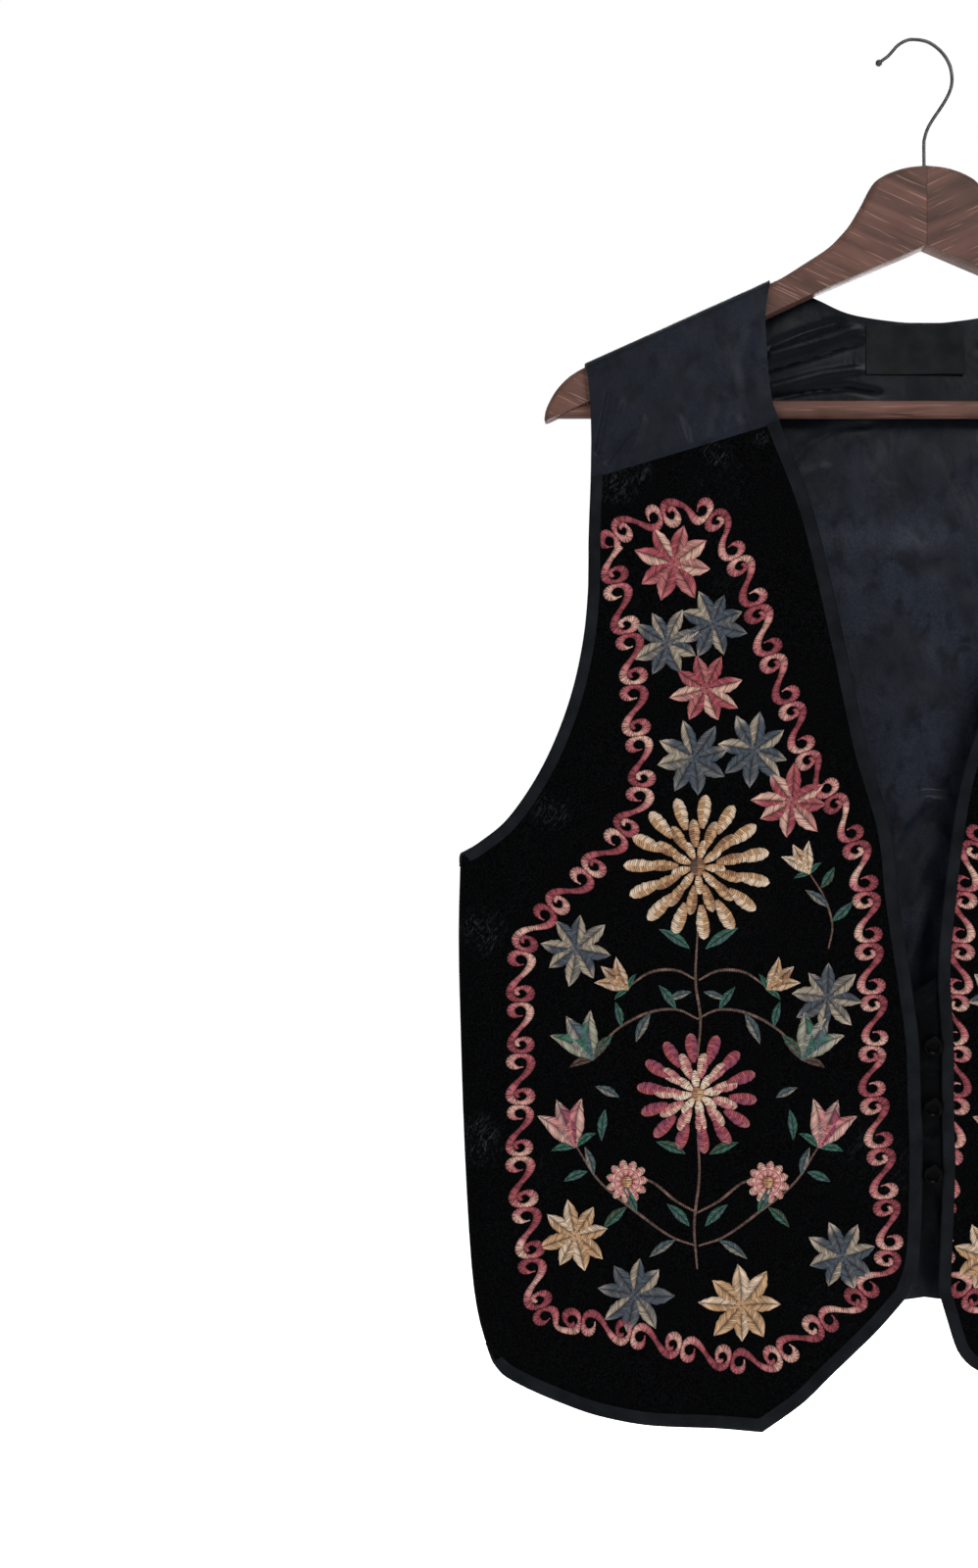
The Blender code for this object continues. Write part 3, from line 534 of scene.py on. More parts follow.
def back_grid():
    """Both halves of the back, from the left side to the right."""
    shares = graded(BACK_COLUMNS, BACK_GRADING)
    split = shares[BACK_NECK_COLUMN]
    neck = smooth_curve(BACK_NECK)
    close = split + (1 - split) * np.array(NECK_STEPS) / lengths_along(neck)[-1]
    far = shares[BACK_NECK_COLUMN + 1 :]
    far = far[far > close[-1] + LEAST_STEP]
    shares = np.concatenate([shares[: BACK_NECK_COLUMN + 1], close, far])
    outside = np.vstack([smooth_curve(YOKE_ARM_EDGE), smooth_curve(ARMHOLE)[1:]])
    length = lengths_along(outside)[-1]
    lower = np.linspace(BACK_DROPS[-1], length, BACK_ARMHOLE_ROWS)[1:]
    reached = np.concatenate([RIDGE_DROPS, BACK_DROPS, lower]) / length
    armhole = along(outside, reached)
    armhole[:, 0] -= BACK_ARMHOLE_INSET * np.sqrt(np.sin(math.pi * np.minimum(reached, 1.0)))
    side = along(SIDE_LINE, even(BACK_SIDE_ROWS + 1))
    left = np.vstack([armhole, side[1:]])
    rows = height_shares(left)
    heights = BACK_NECK_Z + rows * (BACK_HEM_Z - BACK_NECK_Z)
    right = np.stack([np.zeros_like(heights), heights], axis=1)
    top = joined([SHOULDER_TIP, NECK_POINT], neck, shares, BACK_NECK_COLUMN)
    bottom = along(smooth_curve(BACK_HEM), shares)
    half = patch(top, bottom, left, right, shares, rows)
    return np.concatenate([sided(half, -1), half[:, -2::-1]], axis=1)


# Meshes


def finish_piece(obj, slot_name, *nodes):
    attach(obj, "root")
    if nodes:
        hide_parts(*nodes)
    return obj


def new_object(name, data):
    obj = bpy.data.objects.new(name, data)
    bpy.context.scene.collection.objects.link(obj)
    return obj


def piece_from(name, verts, faces, materials, uv=None, colours=None, second=None, angle=50):
    """An object from points and faces, turned so that its faces point outwards."""
    mesh = bpy.data.meshes.new(name)
    mesh.from_pydata(verts.tolist(), [], faces)
    for material in materials:
        mesh.materials.append(material)
    if second is not None:
        mesh.polygons.foreach_set("material_index", np.asarray(second, np.int32))
    if uv is not None:
        corner_verts = np.zeros(len(mesh.loops), np.int32)
        mesh.loops.foreach_get("vertex_index", corner_verts)
        layer = mesh.uv_layers.new(name="cloth_uv")
        layer.data.foreach_set("uv", uv[corner_verts].ravel().astype(np.float32))
    if colours is not None:
        layer = mesh.color_attributes.new("thread_colour", "FLOAT_COLOR", "POINT")
        rgba = np.concatenate([colours, np.ones((len(colours), 1))], axis=1)
        layer.data.foreach_set("color", rgba.ravel().astype(np.float32))
    bm = bmesh.new()
    bm.from_mesh(mesh)
    if bm.calc_volume(signed=True) < 0:
        bmesh.ops.reverse_faces(bm, faces=bm.faces[:])
    bm.to_mesh(mesh)
    bm.free()
    mesh.shade_smooth()
    mesh.set_sharp_from_angle(angle=math.radians(angle))
    return new_object(name, mesh)


def grid_quads(rows, columns, first=0):
    r, c = np.meshgrid(np.arange(rows - 1), np.arange(columns - 1), indexing="ij")
    corner = (first + r * columns + c).ravel()
    return np.stack([corner, corner + 1, corner + columns + 1, corner + columns], axis=1)


def ring_quads(rows, columns):
    """Faces between rows of points, where each row closes into a ring."""
    r, c = np.meshgrid(np.arange(rows - 1), np.arange(columns), indexing="ij")
    here, after = (r * columns + c).ravel(), (r * columns + (c + 1) % columns).ravel()
    return np.stack([here, after, after + columns, here + columns], axis=1).tolist()


def rim_of(rows, columns):
    top = list(range(columns))
    right = [r * columns + columns - 1 for r in range(1, rows)]
    bottom = [(rows - 1) * columns + c for c in range(columns - 2, -1, -1)]
    left = [r * columns for r in range(rows - 2, 0, -1)]
    return top + right + bottom + left


def shell(name, grid, cloth, outer, wall, materials):
    """A closed thin sheet over a grid of (x, z) points. outer is its outer face's offset."""
    rows, columns, _ = grid.shape
    flat = grid.reshape(-1, 2)
    outer = np.broadcast_to(outer, (rows, columns)).ravel()
    verts = np.vstack([cloth.places(flat, outer), cloth.places(flat, outer - wall)])
    count = rows * columns
    front = grid_quads(rows, columns)
    back = grid_quads(rows, columns, count)[:, ::-1]
    ring = np.array(rim_of(rows, columns))
    after = np.roll(ring, -1)
    rim = np.stack([after, ring, ring + count, after + count], axis=1)
    faces = np.vstack([front, back, rim]).tolist()
    second = np.zeros(len(faces), int)
    if len(materials) > 1:
        second[len(front) : len(front) + len(back)] = 1
    uv = np.vstack([flat, flat]) * MM
    return piece_from(name, verts, faces, materials, uv, second=second)


def seam_dip(grid):
    """How far a cloth's face sinks beside the yoke seam."""
    depth, reach = SEAM_DIP
    distance = from_yoke_seam(grid.reshape(-1, 2))
    return (-depth * np.exp(-((distance / reach) ** 2))).reshape(grid.shape[:2])


def tape(name, outer_line, inner_line, width, cloth):
    """A binding folded round an edge, from the edge to the line that it reaches in to."""
    listed = TAPE_OVER + TAPE_UNDER[::-1]
    section = np.array([(share * width + more, lift) for share, more, lift in listed])
    rows, columns = len(outer_line), len(section)
    share = (section[:, 0] / width)[None, :, None]
    grid = (1 - share) * outer_line[:, None] + share * inner_line[:, None]
    offsets = np.broadcast_to(section[:, 1], (rows, columns)).ravel()
    verts = cloth.places(grid.reshape(-1, 2), offsets)
    faces = ring_quads(rows, columns)
    for row, turn in ((0, -1), (rows - 1, 1)):
        for c in range(columns // 2 - 1):
            corners = [c, c + 1, columns - 2 - c, columns - 1 - c]
            faces.append([row * columns + k for k in corners[::turn]])
    run, round_it = lengths_along(outer_line), lengths_along(section)
    uv = np.stack(np.meshgrid(run, round_it, indexing="ij"), axis=-1).reshape(-1, 2) * MM
    return piece_from(name, verts, faces, [BINDING], uv, angle=60)


def tube(name, path, radii, sides, material):
    """A round cord along a path, closed by a cap at each end."""
    path = np.asarray(path, float)
    ways = unit_rows(np.gradient(path, axis=0))
    across = np.cross(ways[0], (0.0, 0.0, 1.0))
    if np.linalg.norm(across) < 0.1:
        across = np.cross(ways[0], (0.0, 1.0, 0.0))
    verts = []
    for point, way, radius in zip(path, ways, radii):
        across = across - way * (across @ way)
        across /= np.linalg.norm(across)
        up = np.cross(way, across)
        for k in range(sides):
            angle = math.tau * k / sides
            verts.append(point + radius * (across * math.cos(angle) + up * math.sin(angle)))
    faces = ring_quads(len(path), sides)
    faces.append(list(range(sides))[::-1])
    faces.append([(len(path) - 1) * sides + k for k in range(sides)])
    return piece_from(name, np.array(verts), faces, [material])


# Materials

STITCH_PITCH = 1.3
# Streaks of laid pile, whose sheen is painted as a lighter grey: turn, width and length in metres, and
# the level where they begin
LAID_PILE_SHEEN_STREAKS = [(0.65, 0.0017, 0.0075, 0.60), (-0.35, 0.0014, 0.0050, 0.62)]
# Heights in metres between which the satin's painted shade deepens towards the neck
PAINTED_NECK_SHADE_HEIGHTS = (-0.275, -0.205)
WOOD_STAIN = [
    (0.0, (0.026, 0.0120, 0.0090, 1)),
    (0.55, (0.054, 0.0250, 0.0185, 1)),
    (1.0, (0.084, 0.0395, 0.0300, 1)),
]

def socket(tree, target, value):
    if isinstance(value, bpy.types.NodeSocket):
        tree.links.new(value, target)
    else:
        target.default_value = value


def add(tree, kind, inputs=None, **settings):
    """A shader node with its settings, and its inputs either values or sockets to link."""
    made = tree.nodes.new(kind)
    for key, value in settings.items():
        setattr(made, key, value)
    for key, value in (inputs or {}).items():
        socket(tree, made.inputs[key], value)
    return made


def maths(tree, operation, a, b=0.0, clamp=False):
    made = add(tree, "ShaderNodeMath", {0: a, 1: b}, operation=operation, use_clamp=clamp)
    return made.outputs[0]


def times(tree, a, b, clamp=False):
    return maths(tree, "MULTIPLY", a, b, clamp)


def mixed(tree, share, first, second):
    made = add(tree, "ShaderNodeMix", {0: share, 6: first, 7: second}, data_type="RGBA")
    return made.outputs[2]


def ramp(tree, value, *stops):
    made = add(tree, "ShaderNodeValToRGB", {0: value})
    elements = made.color_ramp.elements
    while len(elements) < len(stops):
        elements.new(0.5)
    for element, (place, level) in zip(elements, stops):
        element.position = place
        element.color = level if hasattr(level, "__len__") else (level, level, level, 1.0)
    return made.outputs[0]


def vary(tree, sockets, name, value, *stops):
    """Lets a value, through a ramp, set the socket of this name."""
    socket(tree, sockets[name], ramp(tree, value, *stops))


def ranged(tree, value, start, end):
    """0 where the value is at start, 1 where it is at end."""
    given = {0: value, 1: start, 2: end, 3: 0.0, 4: 1.0}
    return add(tree, "ShaderNodeMapRange", given).outputs[0]


def noise(tree, place, scale, detail=4.0, distortion=0.0):
    given = {"Vector": place, "Scale": scale, "Detail": detail, "Distortion": distortion}
    return add(tree, "ShaderNodeTexNoise", given).outputs[0]


def mapped(tree, place, kind="POINT", **changes):
    """The place moved, turned or scaled."""
    given = {"Vector": place, **changes}
    return add(tree, "ShaderNodeMapping", given, vector_type=kind).outputs[0]


def vector_maths(tree, operation, first, second=None):
    given = {0: first} if second is None else {0: first, 1: second}
    return add(tree, "ShaderNodeVectorMath", given, operation=operation).outputs


def axes(tree, place):
    return add(tree, "ShaderNodeSeparateXYZ", {0: place}).outputs


def cloth_uv(tree):
    return add(tree, "ShaderNodeUVMap", uv_map="cloth_uv").outputs[0]


def group(name, inputs, outputs):
    """A shader node group with these sockets, and its input and output nodes."""
    tree = bpy.data.node_groups.new(name, "ShaderNodeTree")
    for label, kind, default in inputs:
        made = tree.interface.new_socket(label, in_out="INPUT", socket_type=f"NodeSocket{kind}")
        if default is not None:
            made.default_value = default
    for label, kind in outputs:
        tree.interface.new_socket(label, in_out="OUTPUT", socket_type=f"NodeSocket{kind}")
    entry = tree.nodes.new("NodeGroupInput")
    leave = tree.nodes.new("NodeGroupOutput")
    return tree, entry.outputs, leave.inputs


def use_group(tree, name, **inputs):
    made = tree.nodes.new("ShaderNodeGroup")
    made.node_tree = bpy.data.node_groups[name]
    for key, value in inputs.items():
        socket(tree, made.inputs[key.replace("_", " ")], value)
    return made.outputs


def build_weave_group():
    """Crossing threads: their height, and an uneven light and dark."""
    tree, given, out = group(
        "weave",
        [("Place", "Vector", None), ("Across", "Float", 2000.0), ("Along", "Float", 2000.0)],
        [("Height", "Float"), ("Shade", "Float")],
    )
    parts = axes(tree, given["Place"])
    first = maths(tree, "SINE", times(tree, parts[0], given["Across"]))
    second = maths(tree, "SINE", times(tree, parts[1], given["Along"]))
    socket(tree, out["Height"], times(tree, first, second))
    vary(tree, out, "Shade", noise(tree, given["Place"], 55.0, 5.0), (0.3, 0.0), (0.7, 1.0))


def build_stitch_group():
    """Satin stitches lying side by side: u runs across them and v along them, in millimetres."""
    tree, given, out = group(
        "satin stitches",
        [("Pitch", "Float", STITCH_PITCH)],
        [("Height", "Float"), ("Shade", "Float")],
    )
    uv = cloth_uv(tree)
    parts = axes(tree, uv)
    slow = mapped(tree, uv, Scale=(1.0, 0.3, 1.0))
    drift = times(tree, noise(tree, slow, 0.5, 2.0), 1.8)
    turns = maths(tree, "DIVIDE", maths(tree, "ADD", parts[0], drift), given["Pitch"])
    strand = maths(tree, "FLOOR", turns)
    half = maths(tree, "SIGN", parts[1])
    cell = add(tree, "ShaderNodeCombineXYZ", {0: strand, 1: half}).outputs[0]
    tone = add(tree, "ShaderNodeTexWhiteNoise", {"Vector": cell}, noise_dimensions="2D").outputs[0]
    round_top = maths(tree, "ABSOLUTE", maths(tree, "SINE", times(tree, turns, math.pi)))
    socket(tree, out["Height"], maths(tree, "POWER", round_top, 0.7))
    # Shade: painted shade in the gaps between stitches, where round_top falls to nothing, with a random
    # tone for each stitch and flecks
    level = maths(tree, "ADD", times(tree, round_top, 0.42), times(tree, tone, 0.42))
    flecks = times(tree, noise(tree, slow, 1.1, 3.0), 0.5)
    vary(tree, out, "Shade", maths(tree, "ADD", level, flecks), (0.36, 0.0), (0.98, 1.0))


def build_grain_group():
    """Wood grain along x, and fine pale scratches lying nearly along it."""
    tree, given, out = group(
        "wood grain",
        [("Place", "Vector", None)],
        [("Grain", "Float"), ("Scratches", "Float"), ("Wear", "Float")],
    )
    place = given["Place"]
    drawn_out = mapped(tree, place, Scale=(9.0, 120.0, 120.0))
    vary(tree, out, "Grain", noise(tree, drawn_out, 1.0, 8.0, 0.6), (0.3, 0.0), (0.7, 1.0))
    masks = []
    for turn, scale in ((0.10, (26.0, 700.0, 700.0)), (-0.16, (34.0, 900.0, 900.0))):
        lie = mapped(tree, place, Rotation=(0, turn, 0), Scale=scale)
        masks.append(ramp(tree, noise(tree, lie, 1.0, 1.0), (0.66, 0.0), (0.73, 1.0)))
    socket(tree, out["Scratches"], maths(tree, "MAXIMUM", *masks))
    vary(tree, out, "Wear", noise(tree, place, 60.0, 5.0), (0.35, 0.0), (0.75, 1.0))


def start_material(name, **values):
    """A new material's tree and its shader, with these values set on the shader's own sockets."""
    made = bpy.data.materials.new(name)
    made.use_nodes = True
    shader = made.node_tree.nodes["Principled BSDF"]
    for key, value in values.items():
        shader.inputs[key.replace("_", " ")].default_value = value
    return made, made.node_tree, shader.inputs


def object_place(tree):
    return add(tree, "ShaderNodeTexCoord").outputs["Object"]


def bumped(tree, shader, height, strength, distance, normal=None):
    given = {"Height": height, "Strength": strength, "Distance": distance}
    if normal is not None:
        given["Normal"] = normal
    made = add(tree, "ShaderNodeBump", given)
    socket(tree, shader["Normal"], made.outputs[0])
    return made.outputs[0]


def make_velvet():
    """A light-swallowing pile, laid flat in crushed places and in faint slanting streaks, with their
    sheen painted as a lighter grey.
    """
    made, tree, shader = start_material(
        "black_velvet",
        Roughness=0.9,
        Sheen_Weight=0.006,
        Sheen_Roughness=0.3,
        Sheen_Tint=(0.55, 0.58, 0.68, 1.0),
        Specular_IOR_Level=0.012,
    )
    place = object_place(tree)
    patches = ramp(tree, noise(tree, place, 13.0, 3.0), (0.60, 0.0), (0.78, 0.3))
    centred = vector_maths(tree, "ADD", place, (-VEST_SHIFT * MM, 0, 0))[0]
    folded = vector_maths(tree, "ABSOLUTE", centred)[0]
    u = axes(tree, folded)
    for (across, depth), reach in CRUSHED_PILE_SHEEN:
        spot = add(tree, "ShaderNodeCombineXYZ", {0: u[0], 1: 0.0, 2: u[2]}).outputs[0]
        away = vector_maths(tree, "DISTANCE", spot, (across * MM, 0, depth * MM))["Value"]
        near = ranged(tree, away, reach * MM, 0.3 * reach * MM)
        patches = maths(tree, "MAXIMUM", patches, near)
    masks = []
    for turn, width, length, edge in LAID_PILE_SHEEN_STREAKS:
        lie = mapped(tree, place, "TEXTURE", Rotation=(0, turn, 0), Scale=(width, width, length))
        streak = noise(tree, lie, 1.0, 4.0, 1.2)
        masks.append(ramp(tree, streak, (edge - 0.05, 0.0), (edge + 0.12, 1.0)))
    laid = times(tree, maths(tree, "MAXIMUM", *masks), patches, clamp=True)
    pile = ramp(tree, noise(tree, place, 1100.0, 2.0), (0.38, 0.0), (0.70, 1.0))
    base = mixed(tree, pile, (0.0001, 0.0001, 0.0001, 1), (0.0018, 0.0020, 0.0023, 1))
    # The laid pile is the cloth's own; the lighter grey that it gives the base colour is a painted
    # sheen
    socket(tree, shader["Base Color"], mixed(tree, laid, base, (0.015, 0.016, 0.018, 1)))
    vary(tree, shader, "Roughness", laid, (0.0, 0.95), (1.0, 0.7))
    soft = bumped(tree, shader, laid, 0.35, 0.0004)
    bumped(tree, shader, pile, 0.35, 0.0004, soft)
    return made


def make_satin(name, dark, light, roughness, specular, shade=1.0):
    """Clouded satin. Where shade is less than 1, a painted shade makes it that much darker towards the
    neck.
    """
    made, tree, shader = start_material(name, Specular_IOR_Level=specular)
    place = object_place(tree)
    stretched = mapped(tree, place, Scale=(1.0, 1.0, 0.75))
    upright = mapped(tree, place, Rotation=(math.pi / 2, 0, 0))
    weave = use_group(tree, "weave", Place=upright, Across=9000.0, Along=9000.0)
    cloudy = noise(tree, stretched, 26.0, 5.0, 0.8)
    blotches = ramp(tree, noise(tree, stretched, 95.0, 3.0, 0.5), (0.50, 1.0), (0.66, 0.3))
    fine = ramp(tree, noise(tree, place, 1000.0, 2.0), (0.36, 0.45), (0.64, 1.0))
    level = times(tree, ramp(tree, cloudy, (0.30, 0.35), (0.66, 1.25)), blotches)
    level = times(tree, level, fine, clamp=True)
    cloth = mixed(tree, level, dark, light)
    if shade < 1.0:
        # Painted shade: between these heights the colour is mixed towards near-black, until only the
        # share shade of it is left
        upper = ranged(tree, axes(tree, place)[2], *PAINTED_NECK_SHADE_HEIGHTS)
        cloth = mixed(tree, times(tree, upper, 1.0 - shade), cloth, (0.0004, 0.0007, 0.0016, 1))
    socket(tree, shader["Base Color"], cloth)
    low, high = roughness
    vary(tree, shader, "Roughness", cloudy, (0.3, high), (0.7, low))
    broad = bumped(tree, shader, noise(tree, stretched, 34.0, 3.0, 0.7), 0.55, 0.0016)
    small = bumped(tree, shader, noise(tree, stretched, 120.0, 3.0, 0.5), 0.35, 0.0003, broad)
    bumped(tree, shader, weave["Height"], 0.15, 0.00005, small)
    return made


def make_binding():
    """Dull tape cut on the bias."""
    made, tree, shader = start_material("charcoal_binding", Roughness=0.8, Specular_IOR_Level=0.03)
    turned = mapped(tree, cloth_uv(tree), Rotation=(0, 0, math.radians(45)))
    weave = use_group(tree, "weave", Place=turned, Across=7000.0, Along=5200.0)
    place = object_place(tree)
    cloudy = noise(tree, place, 70.0, 5.0)
    level = maths(tree, "ADD", times(tree, weave["Height"], 0.18), cloudy)
    dark, light = (0.0018, 0.0022, 0.0028, 1), (0.0052, 0.0061, 0.0075, 1)
    vary(tree, shader, "Base Color", level, (0.25, dark), (0.75, light))
    vary(tree, shader, "Roughness", cloudy, (0.3, 0.86), (0.7, 0.68))
    soft = bumped(tree, shader, noise(tree, place, 160.0, 3.0), 0.4, 0.0004)
    bumped(tree, shader, weave["Height"], 0.5, 0.00009, soft)
    return made


def make_label_cloth():
    made, tree, shader = start_material("woven_label", Roughness=0.8, Specular_IOR_Level=0.04)
    weave = use_group(tree, "weave", Place=cloth_uv(tree), Across=6800.0, Along=5200.0)
    tone = maths(tree, "ADD", times(tree, weave["Height"], 0.25), weave["Shade"])
    dark, light = (0.0026, 0.0032, 0.0034, 1), (0.0086, 0.0096, 0.0099, 1)
    vary(tree, shader, "Base Color", tone, (0.0, dark), (1.0, light))
    bumped(tree, shader, weave["Height"], 0.6, 0.00012)
    return made


def make_thread():
    made, tree, shader = start_material(
        "embroidery_thread", Specular_IOR_Level=0.09, Anisotropic=0.35
    )
    colour = add(tree, "ShaderNodeAttribute", attribute_name="thread_colour").outputs[0]
    stitches = use_group(tree, "satin stitches", Pitch=STITCH_PITCH)
    tone_and_shade_copies = []
    for saturation, value in ((1.12, 0.22), (0.88, 1.75)):
        given = {"Saturation": saturation, "Value": value, "Color": colour}
        tone_and_shade_copies.append(add(tree, "ShaderNodeHueSaturation", given).outputs[0])
    # Base colour: a darkened and a lightened copy of the thread's colour, mixed by Shade, which paints
    # shade into the gaps between stitches and gives each stitch a random tone
    socket(tree, shader["Base Color"], mixed(tree, stitches["Shade"], *tone_and_shade_copies))
    vary(tree, shader, "Roughness", stitches["Shade"], (0.0, 0.62), (1.0, 0.44))
    bumped(tree, shader, stitches["Height"], 0.7, 0.00016)
    return made


def make_wood(name, slope, centre):
    """Stained wood whose grain runs down an arm at this slope, in degrees."""
    made, tree, shader = start_material(name, Specular_IOR_Level=0.08)
    turn = (0.0, math.radians(slope), 0.0)
    turned = mapped(tree, object_place(tree), Location=centre, Rotation=turn)
    grain = use_group(tree, "wood grain", Place=turned)
    stain = ramp(tree, grain["Grain"], *WOOD_STAIN)
    worn = mixed(tree, times(tree, grain["Wear"], 0.35), stain, (0.092, 0.055, 0.046, 1))
    scratched = mixed(tree, times(tree, grain["Scratches"], 0.32), worn, (0.26, 0.16, 0.12, 1))
    socket(tree, shader["Base Color"], scratched)
    vary(tree, shader, "Roughness", grain["Wear"], (0.0, 0.42), (1.0, 0.58))
    soft = bumped(tree, shader, grain["Grain"], 0.25, 0.0003)
    bumped(tree, shader, grain["Scratches"], 0.35, 0.0001, soft)
    return made


def make_steel():
    made, tree, shader = start_material("dark_steel", Specular_IOR_Level=0.5)
    place = object_place(tree)
    cloudy = noise(tree, place, 240.0, 5.0)
    dark, light = (0.020, 0.020, 0.021, 1), (0.060, 0.059, 0.060, 1)
    vary(tree, shader, "Base Color", cloudy, (0.3, dark), (0.75, light))
    vary(tree, shader, "Metallic", cloudy, (0.2, 0.85), (0.8, 0.95))
    vary(tree, shader, "Roughness", cloudy, (0.3, 0.30), (0.7, 0.46))
    bumped(tree, shader, noise(tree, place, 900.0, 3.0), 0.15, 0.0001)
    return made


def make_button_horn():
    made, tree, shader = start_material(
        "black_button", Specular_IOR_Level=0.005, Coat_Weight=0.035, Coat_Roughness=0.06
    )
    place = object_place(tree)
    cloudy = noise(tree, place, 420.0, 4.0, 0.6)
    dark, light = (0.0002, 0.0002, 0.0002, 1), (0.0008, 0.0008, 0.0009, 1)
    vary(tree, shader, "Base Color", cloudy, (0.3, dark), (0.8, light))
    vary(tree, shader, "Roughness", cloudy, (0.2, 0.16), (0.8, 0.26))
    bumped(tree, shader, noise(tree, place, 700.0, 2.0), 0.06, 0.0001)
    return made


build_weave_group()
build_stitch_group()
build_grain_group()
VELVET = make_velvet()
STRIP_SATIN = make_satin(
    "black_satin_strip", (0.0001, 0.0001, 0.0002, 1), (0.0013, 0.0015, 0.0020, 1), (0.30, 0.44), 0.02
)
YOKE_SATIN = make_satin(
    "black_satin", (0.0016, 0.0022, 0.0036, 1), (0.0058, 0.0075, 0.0116, 1), (0.34, 0.50), 0.05
)
# The inside satin: a painted shade darkens it towards the neck, down to 0.12 of its colour
BACK_SATIN = make_satin(
    "black_satin_inside",
    (0.0012, 0.0017, 0.0029, 1),
    (0.0092, 0.0116, 0.0174, 1),
    (0.27, 0.40),
    0.06,
    0.12,
)
BINDING = make_binding()
LABEL_CLOTH = make_label_cloth()
THREAD = make_thread()
WOOD = {
    -1: make_wood("stained_wood_left", -25.0, (0, 0, 0)),
    1: make_wood("stained_wood_right", 25.0, (0.31, 0, 0)),
}
BAR_WOOD = make_wood("stained_wood_bar", 0.0, (0.17, 0.05, 0.3))
STEEL = make_steel()
BUTTON_HORN = make_button_horn()


# Cloth


def dress_front(side, name):
    """One front: its velvet panel, and the two tapes that bind its edges."""
    pattern = FrontPattern(side)
    cloth = Cloth(-1, FRONT_CREASES, PUCKER["front"], side)
    grid = sided(pattern.panel_grid(), side)
    materials = [VELVET, BACK_SATIN]
    panel = shell(f"front_{name}_panel", grid, cloth, seam_dip(grid), VELVET_WALL, materials)
    finish_piece(panel, "velvet", f"front_{name}")
    for kind, outer_line, inset_by, width in (
        ("edge_binding", pattern.edge, pattern.inside_edge, pattern.binding_width),
        ("armhole_binding", pattern.armhole, pattern.inside_armhole, ARMHOLE_BINDING_WIDTH),
    ):
        part = f"{kind}_{name}"
        inner_line = sided(inset_by(width), side)
        made = tape(f"{part}_tape", sided(outer_line, side), inner_line, width, cloth)
        finish_piece(made, "binding", part)
    return panel, cloth, pattern


def dress_yoke(side, name):
    cloth = Cloth(-1, YOKE_CREASES, PUCKER["yoke"], side)
    grid = sided(yoke_grid(), side)
    yoke = shell(f"yoke_{name}_satin", grid, cloth, seam_dip(grid), SATIN_WALL, [YOKE_SATIN])
    return finish_piece(yoke, "satin", f"yoke_{name}")


def dress_back():
    cloth = Cloth(1, BACK_CREASES, PUCKER["back"])
    back = shell("back_satin", back_grid(), cloth, 0.0, BACK_WALL, [YOKE_SATIN, BACK_SATIN])
    return finish_piece(back, "satin", "back"), cloth


def dress_label(back_cloth):
    width, height = LABEL_SIZE
    s, t = np.meshgrid(np.linspace(-0.5, 0.5, 59), even(31), indexing="xy")
    grid = np.stack([LABEL_CENTRE + s * width, LABEL_TOP - t * height], axis=-1)
    lift = LABEL_CURL * np.clip((t - 0.5) / 0.5, 0, 1) ** 2 * (0.35 + np.clip(s + 0.5, 0, 1) ** 2)
    sewn = LABEL_GAP * np.exp(-(((0.5 - np.abs(s)) * width - 1.6) / 0.5) ** 2)
    outer = -(BACK_WALL + LABEL_GAP) - lift + sewn
    label = shell("label_woven", grid, back_cloth, outer, LABEL_WALL, [LABEL_CLOTH])
    return finish_piece(label, "woven_label", "label")


def dress_strip():
    cloth = Cloth(-1, STRIP_CREASES, PUCKER["strip"])
    across, down = np.meshgrid(np.linspace(-1, 1, 27), even(130))
    top = STRIP_TOP + STRIP_SLANT * across
    grid = np.stack([across * STRIP_HALF_WIDTH, top + down * (STRIP_BOTTOM - top)], axis=-1)
    strip = shell("button_strip_satin", grid, cloth, STRIP_OFFSET, STRIP_WALL, [STRIP_SATIN])
    return finish_piece(strip, "satin", "button_strip")


# Embroidery


ROSE = (0.128, 0.014, 0.021)
DEEP_ROSE = (0.078, 0.007, 0.012)
PINK = (0.180, 0.052, 0.052)
BLUSH = (0.235, 0.130, 0.098)
CREAM = (0.245, 0.175, 0.118)
PALE = (0.260, 0.200, 0.152)
STONE = (0.130, 0.105, 0.077)
SLATE = (0.022, 0.028, 0.037)
NAVY = (0.008, 0.011, 0.019)
GOLD = (0.190, 0.104, 0.045)
AMBER = (0.110, 0.050, 0.020)
TEAL = (0.011, 0.046, 0.032)
MOSS = (0.018, 0.031, 0.018)
DUSK = (0.023, 0.038, 0.044)
BROWN = (0.036, 0.019, 0.014)
MAGENTA = (0.092, 0.012, 0.028)

CLOTH_SINK = -0.35
TUCKED_HEIGHT = -0.45
TUCKED_REACH = 2.0
RIGHT_STITCH_SHIFT = 20.5


def from_photo(points):
    """(x, z) on the left front, in millimetres, of places given in the photograph's frame."""
    away = np.asarray(points, float) - PHOTO_ORIGIN
    return np.stack([PHOTO_STEP * away[..., 0], -PHOTO_STEP * away[..., 1]], axis=-1)


def smoothstep(value):
    value = np.clip(value, 0.0, 1.0)
    return value * value * (3 - 2 * value)


def blend(first, second, share):
    share = np.asarray(share)[..., None]
    return np.asarray(first) * (1 - share) + np.asarray(second) * share


def to_light(colour, share):
    return blend(colour, PALE, share)


